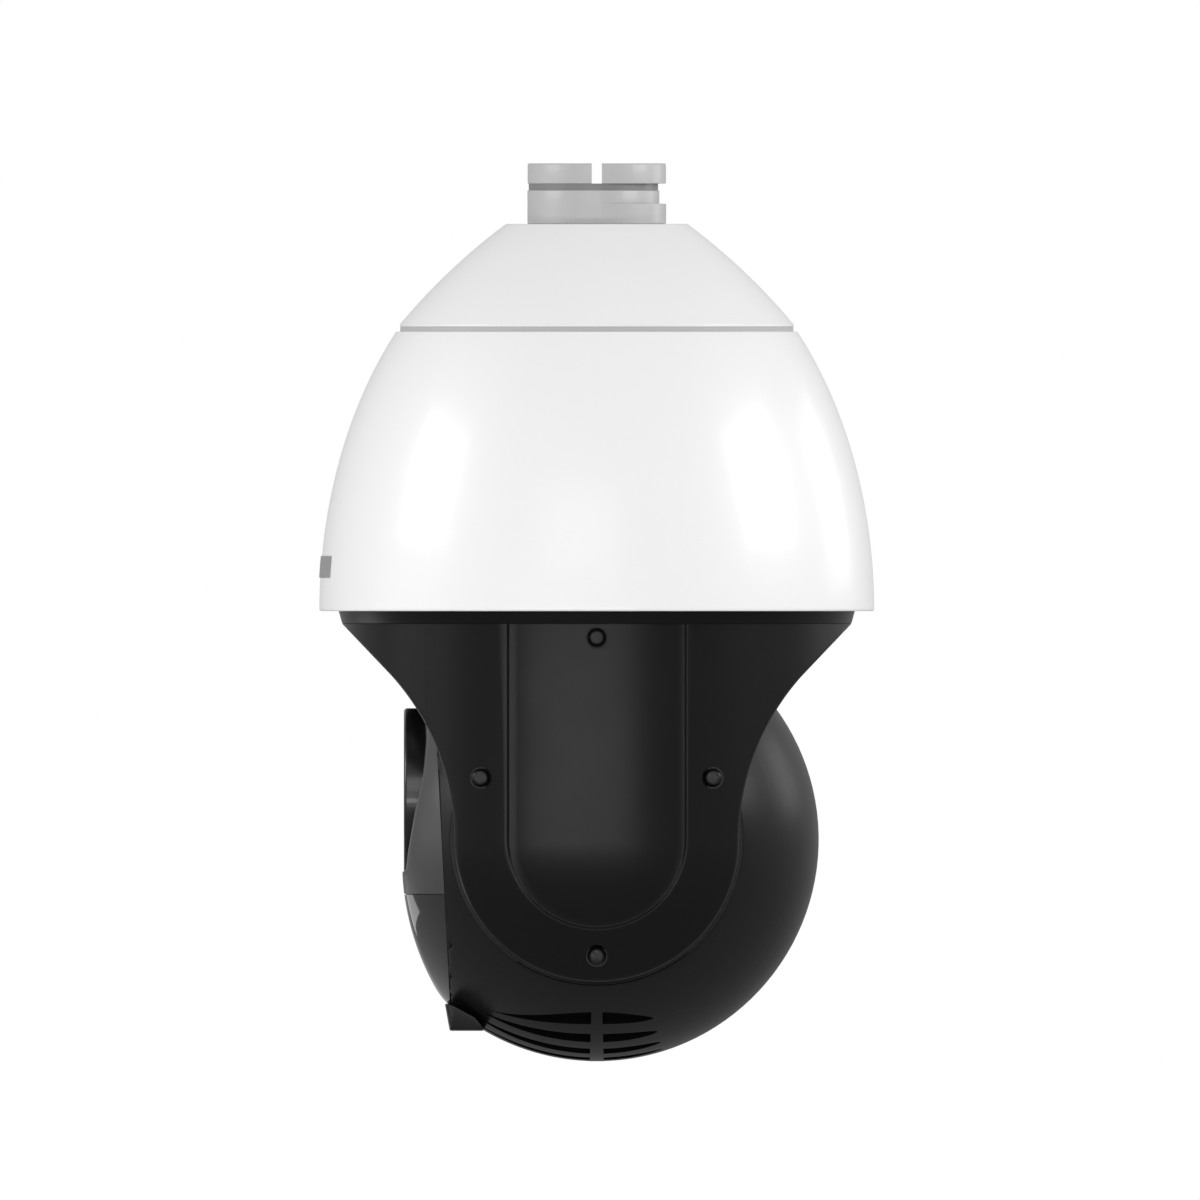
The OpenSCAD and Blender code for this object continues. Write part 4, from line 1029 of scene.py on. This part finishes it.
def build_ball():
    """Rear of the ball: rings about the tilt axis that stop at the seam, sunk where the grooves are."""
    h = head()
    x, close_x = ball_places()
    outer = np.stack([x, np.sqrt(h.radius ** 2 - x ** 2)], 1)
    inner_r = h.radius - SKIN
    inner = np.stack([x * inner_r / h.radius, np.sqrt(inner_r ** 2 - (x * inner_r / h.radius) ** 2)], 1)
    right, right_in = side_outline(close_x, 0), side_outline(close_x * inner_r / h.radius, SKIN)
    mirror = np.array([-1, 1])
    outer = np.concatenate([right[::-1] * mirror, outer, right])
    inner = np.concatenate([right_in[::-1] * mirror, inner, right_in])
    low, high = seam_angles(outer[:, 1])
    turn = 2 * math.pi
    ends = np.array([0, 0.3, 1.0, 2.0]) * MM / h.radius
    rib = RIB_HALF / h.radius
    fixed = np.concatenate([
        GROOVE_REAR + ends, np.linspace(GROOVE_REAR + 0.05, -rib - 0.05, 8), -rib - ends[::-1],
        rib + ends, np.linspace(rib + 0.05, GROOVE_FRONT - 0.05, 18), GROOVE_FRONT - ends[::-1]])
    first = np.array([0, 0.35, 0.8]) * MM / h.radius
    upper = np.concatenate([first, np.linspace(0, 1, 72)[1:-1]])
    columns = []
    for k, part in enumerate(upper):
        columns.append(high + part if k < 3 else high + (turn + GROOVE_REAR - high) * part)
    columns += [np.full(len(outer), turn + a) for a in fixed]
    for part in np.linspace(0, 1, 14)[1:]:
        columns.append(turn + GROOVE_FRONT + (low - GROOVE_FRONT - first[2]) * part)
    columns += [turn + low - first[1], turn + low]
    angles = np.stack(columns, 1)
    angles.sort(axis=1)
    centred = (angles + math.pi) % turn - math.pi
    sunk = groove_depth(outer[:, :1], centred)
    bevel = np.zeros(angles.shape[1])
    bevel[:2] = SEAM_BEVEL
    bevel[-2:] = SEAM_BEVEL[::-1]
    opens = (outer[:, 1] > seam_circle()[0] + 1e-6)[:, None]
    radius = outer[:, 1:] - sunk - bevel[None] * opens
    bent = groove_bend(outer[:, :1], centred)
    on_ball = (np.abs(outer[:, :1]) < close_x) & (bent != outer[:, :1])
    radius = np.where(on_ball, np.sqrt(h.radius ** 2 - bent ** 2) - sunk - bevel[None] * opens, radius)
    shell = np.stack([bent, -radius * np.sin(angles), -radius * np.cos(angles) + AXIS_Z], -1)
    lining = np.stack([np.repeat(inner[:, :1], angles.shape[1], 1), -inner[:, 1:] * np.sin(angles),
                       -inner[:, 1:] * np.cos(angles) + AXIS_Z], -1)
    rows, columns = shell.shape[:2]
    total = rows * columns
    faces = grid_faces(2 * rows, columns, True)
    rims = []
    for k in np.flatnonzero(opens[:-1, 0] | opens[1:, 0]):
        for c in (0, columns - 1):
            rims.append((k * columns + c, (k + 1) * columns + c,
                         total + (rows - 2 - k) * columns + c, total + (rows - 1 - k) * columns + c))
    points = np.concatenate([shell.reshape(-1, 3), lining[::-1].reshape(-1, 3)])
    lip, lip_faces = chin_lip(len(points))
    ball = finish_mesh("ball_rear_shell", np.concatenate([points, lip]), faces + rims + lip_faces,
                       "head", "head_shell", ["head_rear_shell"], 24)
    # Painted shade on the faces deep in the cooling grooves.
    paint_groove_shade(ball)


def paint_groove_shade(ball):
    """Paints shade into the faces that lie deep in the grooves: they take a matte near-black of their own."""
    ball.data.materials.append(FINISHES["groove_black"])
    places = face_centres(ball.data) - [0, 0, AXIS_Z]
    out = np.linalg.norm(places, axis=1)
    r = head().radius
    walls, lining, underside = r - 0.2 * MM, r - GROOVE_DEPTH - 0.3 * MM, -45 * MM
    deep = (out < walls) & (out > lining) & (places[:, 2] < underside)
    deep &= np.arctan2(-places[:, 1], -places[:, 2]) < GROOVE_FRONT
    ball.data.polygons.foreach_set("material_index", deep.astype(np.int32))


def chin_lip(start):
    """The lip under the window: a small profile run across the ball, with its ends rounded down."""
    profile = rounded(LIP_PROFILE, LIP_ROUNDING, 6)
    half, soft = 32 * MM, 4 * MM
    turn = np.linspace(0, math.pi / 2, 10)
    x = np.concatenate([-half + soft * (1 - np.cos(turn)), np.linspace(-half + soft, half - soft, 12)[1:-1],
                        half - soft * (1 - np.cos(turn[::-1]))])
    inset = np.clip((np.abs(x) - half + soft) / soft, 0, 1)
    size = 1 - 0.16 * (1 - np.sqrt(1 - inset ** 2))
    base = np.array([-52 * MM, -68 * MM])
    rows = base + (profile[None] - base) * size[:, None, None]
    points = np.stack([np.repeat(x[:, None], len(profile), 1), rows[..., 0], rows[..., 1] + AXIS_Z], -1)
    n = len(profile)
    faces = grid_faces(len(x), n, False, True, start)
    end = start + len(x) * n
    faces += [list(range(start, start + n)), list(range(end - 1, end - n - 1, -1))]
    return points.reshape(-1, 3), faces


def face_distance(z):
    """Distance of the front face from the tilt axis: straight runs above, one arc over the window."""
    runs = np.interp(z, FACE_HEIGHTS, FACE_REACH)
    soft = sum(np.interp(z + d * MM, FACE_HEIGHTS, FACE_REACH) for d in (-3, -1.5, 1.5, 3)) / 4
    arc = -25.8 * MM + np.sqrt(np.maximum((103 * MM) ** 2 - (z + 8.4 * MM) ** 2, 0))
    return np.where((z < -12 * MM) & (z > -66 * MM), arc, (runs + soft) / 2)


def front_grid(z, gap):
    """Height field of the front over height rows: the nearer of the face and the ball, softly joined."""
    h = head()
    seam = seam_at(z) + gap
    face = face_distance(z)
    seam_x = np.sqrt(np.maximum(h.radius ** 2 - z ** 2 - seam ** 2, 0))
    face_x = np.sqrt(np.maximum(h.radius ** 2 - z ** 2 - face ** 2, 0))
    face_x = np.minimum(face_x, seam_x)
    inner = np.sin(np.linspace(-1, 1, 57) * math.pi / 2 * 0.9) / math.sin(math.pi / 2 * 0.9)
    outer = np.linspace(0, 1, 17)[1:]
    left = -(face_x[:, None] + (seam_x - face_x)[:, None] * outer[None, ::-1])
    right = face_x[:, None] + (seam_x - face_x)[:, None] * outer[None]
    x = np.concatenate([left, face_x[:, None] * inner[None], right], 1)
    ball = np.sqrt(np.maximum(h.radius ** 2 - z[:, None] ** 2 - x ** 2, 0))
    front = soft_min(face[:, None] + 0 * x, ball, 1.6 * MM)
    front = np.maximum(front, seam[:, None])
    front[:, 0] = front[:, -1] = seam
    back = np.maximum(front - SKIN, seam[:, None])
    return x, front, back


def front_piece(name, z, gap, node, slot):
    """A closed piece of the ball's front between two heights."""
    x, front, back = front_grid(z, gap)
    z = np.repeat(z[:, None], x.shape[1], 1) + AXIS_Z
    outside = np.stack([x, -front, z], -1)
    inside = np.stack([x, -back, z], -1)[:, ::-1]
    loop = np.concatenate([outside, inside], 1)
    rows = loop.shape[1]
    faces = grid_faces(len(z), rows, False, True) + end_caps(len(z), rows)
    return finish_mesh(name, loop, faces, "head", slot, [node], 24)


def build_front_cover():
    """Front cover: the ball's upper front, cut by a round hole for the lens boss."""
    h = head()
    level, reach = seam_circle()
    top = reach * math.cos(h.seam_lean) - level * math.sin(h.seam_lean) - FRONT_GAP * 1.1
    z = COVER_FOOT + (top - COVER_FOOT) * np.sin(np.linspace(0, 1, 120) * math.pi / 2)
    cover = front_piece("front_cover_shell", z, FRONT_GAP, "head_front_cover", "front_shell")
    hole, near, far = h.boss_radius + 0.25 * MM, 40 * MM, 100 * MM
    points, faces = turned([(0, near), (0, far), (hole, far), (hole, near)], 128)
    cut_with(cover, [cutter(about_y(points, h.lens_height + AXIS_Z), faces)])


def build_infrared_window():
    """Dark pane over the infrared lights: the ball's lower front, edge to edge."""
    lean = head().seam_lean
    level, reach = seam_circle()
    foot = -reach * math.cos(lean) - level * math.sin(lean) + FRONT_GAP * 1.3
    z = WINDOW_TOP + (foot - WINDOW_TOP) * np.sin(np.linspace(0, 1, 90) * math.pi / 2)
    front_piece("infrared_pane", z, FRONT_GAP, "ir_window", "ir_glass")


def build_gaskets():
    """Rubber ring in the ball's seam and a strip behind the join of cover and window."""
    lean = head().seam_lean
    level, reach = seam_circle()
    corners = [[reach - 3 * MM, level - 1.2 * MM], [reach - 3 * MM, level + 1.2 * MM],
               [reach - 1.6 * MM, level + 1.2 * MM], [reach - 0.5 * MM, level + 0.2 * MM],
               [reach - 0.5 * MM, level - 1.2 * MM]]
    points, faces = turned(rounded(corners, 0.1 * MM, 3), 160)
    points = about_y(points, 0)
    c, s = math.cos(lean), math.sin(lean)
    y, z = points[..., 1], points[..., 2]
    points = np.stack([points[..., 0], y * c - z * s, y * s + z * c + AXIS_Z], -1)
    finish_mesh("seam_gasket", points, faces, "head", "rubber", ["head_seal"])
    z = np.linspace(WINDOW_TOP - 1.5 * MM, COVER_FOOT + 1.5 * MM, 5)
    x, front, _ = front_grid(z, 0.8 * MM)
    seam = seam_at(z)[:, None] + 0.4 * MM
    front, back = np.maximum(front - 0.7 * MM, seam), np.maximum(front - 2 * MM, seam)
    tall = np.repeat(z[:, None], x.shape[1], 1) + AXIS_Z
    loop = np.concatenate([np.stack([x, -front, tall], -1), np.stack([x, -back, tall], -1)[:, ::-1]], 1)
    rows = loop.shape[1]
    finish_mesh("window_gasket", loop, grid_faces(len(z), rows, False, True) + end_caps(len(z), rows),
                "head", "rubber")


def build_lens_boss():
    """Gloss bezel with rounded rims, and the round pane set in it."""
    h = head()
    glass = node_box("lens_window")[1][0]
    front, rear, r = BOSS_FRONT, BOSS_REAR, h.boss_radius
    corners = [[glass - 3 * MM, rear], [glass - 3 * MM, front - 3.6 * MM], [glass + 0.15 * MM, front - 3.6 * MM],
               [glass + 0.15 * MM, front], [r, front], [r, rear]]
    points, faces = turned(rounded(corners, [0, 0, 0, 0.8 * MM, 1.4 * MM, 0.4 * MM], 8), 192)
    finish_mesh("boss_bezel", about_y(points, h.lens_height + AXIS_Z), faces, "head", "gloss_black", ["lens_bezel"])
    corners = [[0, front - 3.5 * MM], [glass, front - 3.5 * MM], [glass, front - 0.9 * MM], [0, front - 0.6 * MM]]
    points, faces = turned(rounded(corners, [0, 0.2 * MM, 0.5 * MM, 0], 5), 160)
    finish_mesh("boss_pane", about_y(points, h.lens_height + AXIS_Z), faces, "head", "window_glass", ["lens_window"])


# ------------------------------------------------------------------ stage

VIEW_WIDTH = 0.4757
VIEW_FROM = (2.0, 0.00127, -0.1491)


def softbox(name, place, target, width, height, power):
    """A soft area light at a place, turned to face a target."""
    light = bpy.data.lights.new(name, "AREA")
    light.shape = "RECTANGLE"
    light.size = width
    light.size_y = height
    light.energy = power
    lamp = bpy.data.objects.new(name, light)
    bpy.context.scene.collection.objects.link(lamp)
    lamp.location = place
    lamp.rotation_euler = (Vector(target) - Vector(place)).to_track_quat("-Z", "Y").to_euler()


def build_world():
    """White all round the camera's view, and a dimmer even light on the object."""
    world = bpy.data.worlds.new("studio_white")
    bpy.context.scene.world = world
    world.use_nodes = True
    tree = world.node_tree
    tree.nodes.clear()
    kinds = ("OutputWorld", "MixShader", "LightPath", "Background", "Background", "TexCoord", "SeparateXYZ",
             "MapRange")
    out, mix, seen, backdrop, fill, place, split, rise = (tree.nodes.new(f"ShaderNode{kind}") for kind in kinds)
    for background in (backdrop, fill):
        background.inputs["Color"].default_value = (1, 1, 1, 1)
    backdrop.inputs["Strength"].default_value = 1.0
    for name, value in (("From Min", -0.3), ("From Max", 0.4), ("To Min", 0.3), ("To Max", 0.58)):
        rise.inputs[name].default_value = value
    for source, output, target, entry in (
            (place, "Generated", split, "Vector"), (split, "Z", rise, "Value"),
            (rise, "Result", fill, "Strength"), (seen, "Is Camera Ray", mix, "Fac"),
            (fill, "Background", mix, 1), (backdrop, "Background", mix, 2), (mix, "Shader", out, "Surface")):
        tree.links.new(source.outputs[output], target.inputs[entry])


def build_floor():
    """Pale floor well under the camera, with a faint mottle."""
    half, z = 5, AXIS_Z - 0.45
    mesh = bpy.data.meshes.new("floor")
    corners = [(-half, -half, z), (half, -half, z), (half, half, z), (-half, half, z)]
    mesh.from_pydata(corners, [], [(0, 1, 2, 3)])
    floor = bpy.data.objects.new("floor", mesh)
    bpy.context.scene.collection.objects.link(floor)
    paint = Finish("pale_floor", specular=0.2)
    paint.set("Base Color", paint.between(paint.noise(3, 4), (0.82, 0.82, 0.82), (0.86, 0.86, 0.86)))
    paint.set("Roughness", paint.noise(8, 3) * 0.1 + 0.75)
    mesh.materials.append(paint.material)
    floor.visible_glossy = False


def build_lights():
    """Broad fills for the white shells, and boxes whose reflections give the black shells their form."""
    softbox("side_box", (0.86, -0.13, AXIS_Z + 0.01), (0.1, -0.06, AXIS_Z + 0.01), 0.8, 0.07, 1.3)
    softbox("key_level", (1.2, -0.15, 0.2), (0, 0, -0.08), 0.7, 0.4, 1.7)
    softbox("ball_rim", (-0.5, 0.9, AXIS_Z + 0.33), (0, 0, AXIS_Z), 0.4, 0.4, 1.0)
    softbox("right_high", (0.25, 1.1, 0.3), (0, 0, -0.04), 0.6, 0.5, 5)
    softbox("left_high", (0.25, -1.1, 0.3), (0, 0, -0.04), 0.6, 0.5, 3.8)
    softbox("left_level", (0.12, -1.1, AXIS_Z + 0.05), (0, -0.05, AXIS_Z), 0.75, 0.3, 0.45)
    softbox("far_front", (-0.63, -0.86, AXIS_Z - 0.27), (0, -0.07, AXIS_Z - 0.03), 0.34, 0.24, 0.3)


def build_camera():
    """Camera level with the object, square on to its side, with no perspective."""
    lens = bpy.data.cameras.new("side_view")
    lens.type = "ORTHO"
    lens.ortho_scale = VIEW_WIDTH
    lens.clip_end = 20
    camera = bpy.data.objects.new("side_view", lens)
    bpy.context.scene.collection.objects.link(camera)
    camera.location = VIEW_FROM
    camera.rotation_euler = (math.pi / 2, 0, math.pi / 2)
    bpy.context.scene.camera = camera
    bpy.context.scene.view_settings.view_transform = "Standard"
    bpy.context.scene.view_settings.look = "None"


# ------------------------------------------------------------------ operators

class PieceOperator:
    """What every piece's operator shares: it runs its build steps and fails loudly if they make nothing."""

    bl_options = {"REGISTER", "UNDO"}
    steps = ()

    def execute(self, context):
        before = len(bpy.data.objects)
        for step in self.steps:
            step()
        if len(bpy.data.objects) <= before:
            raise RuntimeError(f"{self.bl_idname} built nothing")
        return {"FINISHED"}


class CAMERA_OT_dress(bpy.types.Operator):
    """Give every carried-over node its finish"""

    bl_idname = "dome_camera.dress"
    bl_label = "Finishes"

    def execute(self, context):
        dress_nodes()
        if not FINISHES:
            raise RuntimeError("no finishes were made")
        return {"FINISHED"}


class CAMERA_OT_housing(PieceOperator, bpy.types.Operator):
    """Build the white dome, its cap and its blank badge"""

    bl_idname = "dome_camera.housing"
    bl_label = "Dome and Cap"
    steps = (build_dome, build_cap, build_badge)


class CAMERA_OT_collar(PieceOperator, bpy.types.Operator):
    """Build the mounting collar and its rubber gland"""

    bl_idname = "dome_camera.collar"
    bl_label = "Mounting Collar"
    steps = (build_collar, build_gland)


class CAMERA_OT_yoke(PieceOperator, bpy.types.Operator):
    """Build the turntable, the hood and both arm covers"""

    bl_idname = "dome_camera.yoke"
    bl_label = "Black Yoke"
    steps = (build_ring, build_hood, build_arm_covers)


class CAMERA_OT_screws(PieceOperator, bpy.types.Operator):
    """Build the arm covers' screws"""

    bl_idname = "dome_camera.screws"
    bl_label = "Arm Screws"
    steps = (build_arm_screws,)


class CAMERA_OT_ball(PieceOperator, bpy.types.Operator):
    """Build the rear of the ball with its grooves and lip"""

    bl_idname = "dome_camera.ball"
    bl_label = "Ball"
    steps = (build_ball,)


class CAMERA_OT_front(PieceOperator, bpy.types.Operator):
    """Build the front cover, the infrared pane and the lens boss"""

    bl_idname = "dome_camera.front"
    bl_label = "Ball Front"
    steps = (build_front_cover, build_infrared_window, build_gaskets, build_lens_boss)


class CAMERA_OT_stage(PieceOperator, bpy.types.Operator):
    """Build the floor, the light and the camera"""

    bl_idname = "dome_camera.stage"
    bl_label = "Stage"
    steps = (build_world, build_floor, build_lights, build_camera)


OPERATORS = (CAMERA_OT_dress, CAMERA_OT_stage, CAMERA_OT_housing, CAMERA_OT_collar, CAMERA_OT_yoke,
             CAMERA_OT_screws, CAMERA_OT_ball, CAMERA_OT_front)


class CAMERA_PT_looks(bpy.types.Panel):
    """Lists the camera's pieces and their settings"""

    bl_idname = "CAMERA_PT_looks"
    bl_label = "Dome Camera"
    bl_space_type = "VIEW_3D"
    bl_region_type = "UI"
    bl_category = "Dome Camera"

    def draw(self, context):
        for settings in (sizes(), head(), colours()):
            box = self.layout.box()
            for name in settings.__annotations__:
                box.prop(settings, name)
        for operator in OPERATORS:
            self.layout.operator(operator.bl_idname)


SETTINGS = {"dome_sizes": DomeSizes, "head_sizes": HeadSizes, "finish_colours": FinishColours}


def register():
    for group in SETTINGS.values():
        bpy.utils.register_class(group)
    for name, group in SETTINGS.items():
        setattr(bpy.types.Scene, name, PointerProperty(type=group))
    for operator in OPERATORS:
        bpy.utils.register_class(operator)
    bpy.utils.register_class(CAMERA_PT_looks)


def unregister():
    bpy.utils.unregister_class(CAMERA_PT_looks)
    for operator in reversed(OPERATORS):
        bpy.utils.unregister_class(operator)
    for name, group in SETTINGS.items():
        delattr(bpy.types.Scene, name)
        bpy.utils.unregister_class(group)


def main():
    register()
    for operator in OPERATORS:
        group, name = operator.bl_idname.split(".")
        getattr(getattr(bpy.ops, group), name)()


if __name__ == "__main__":
    main()
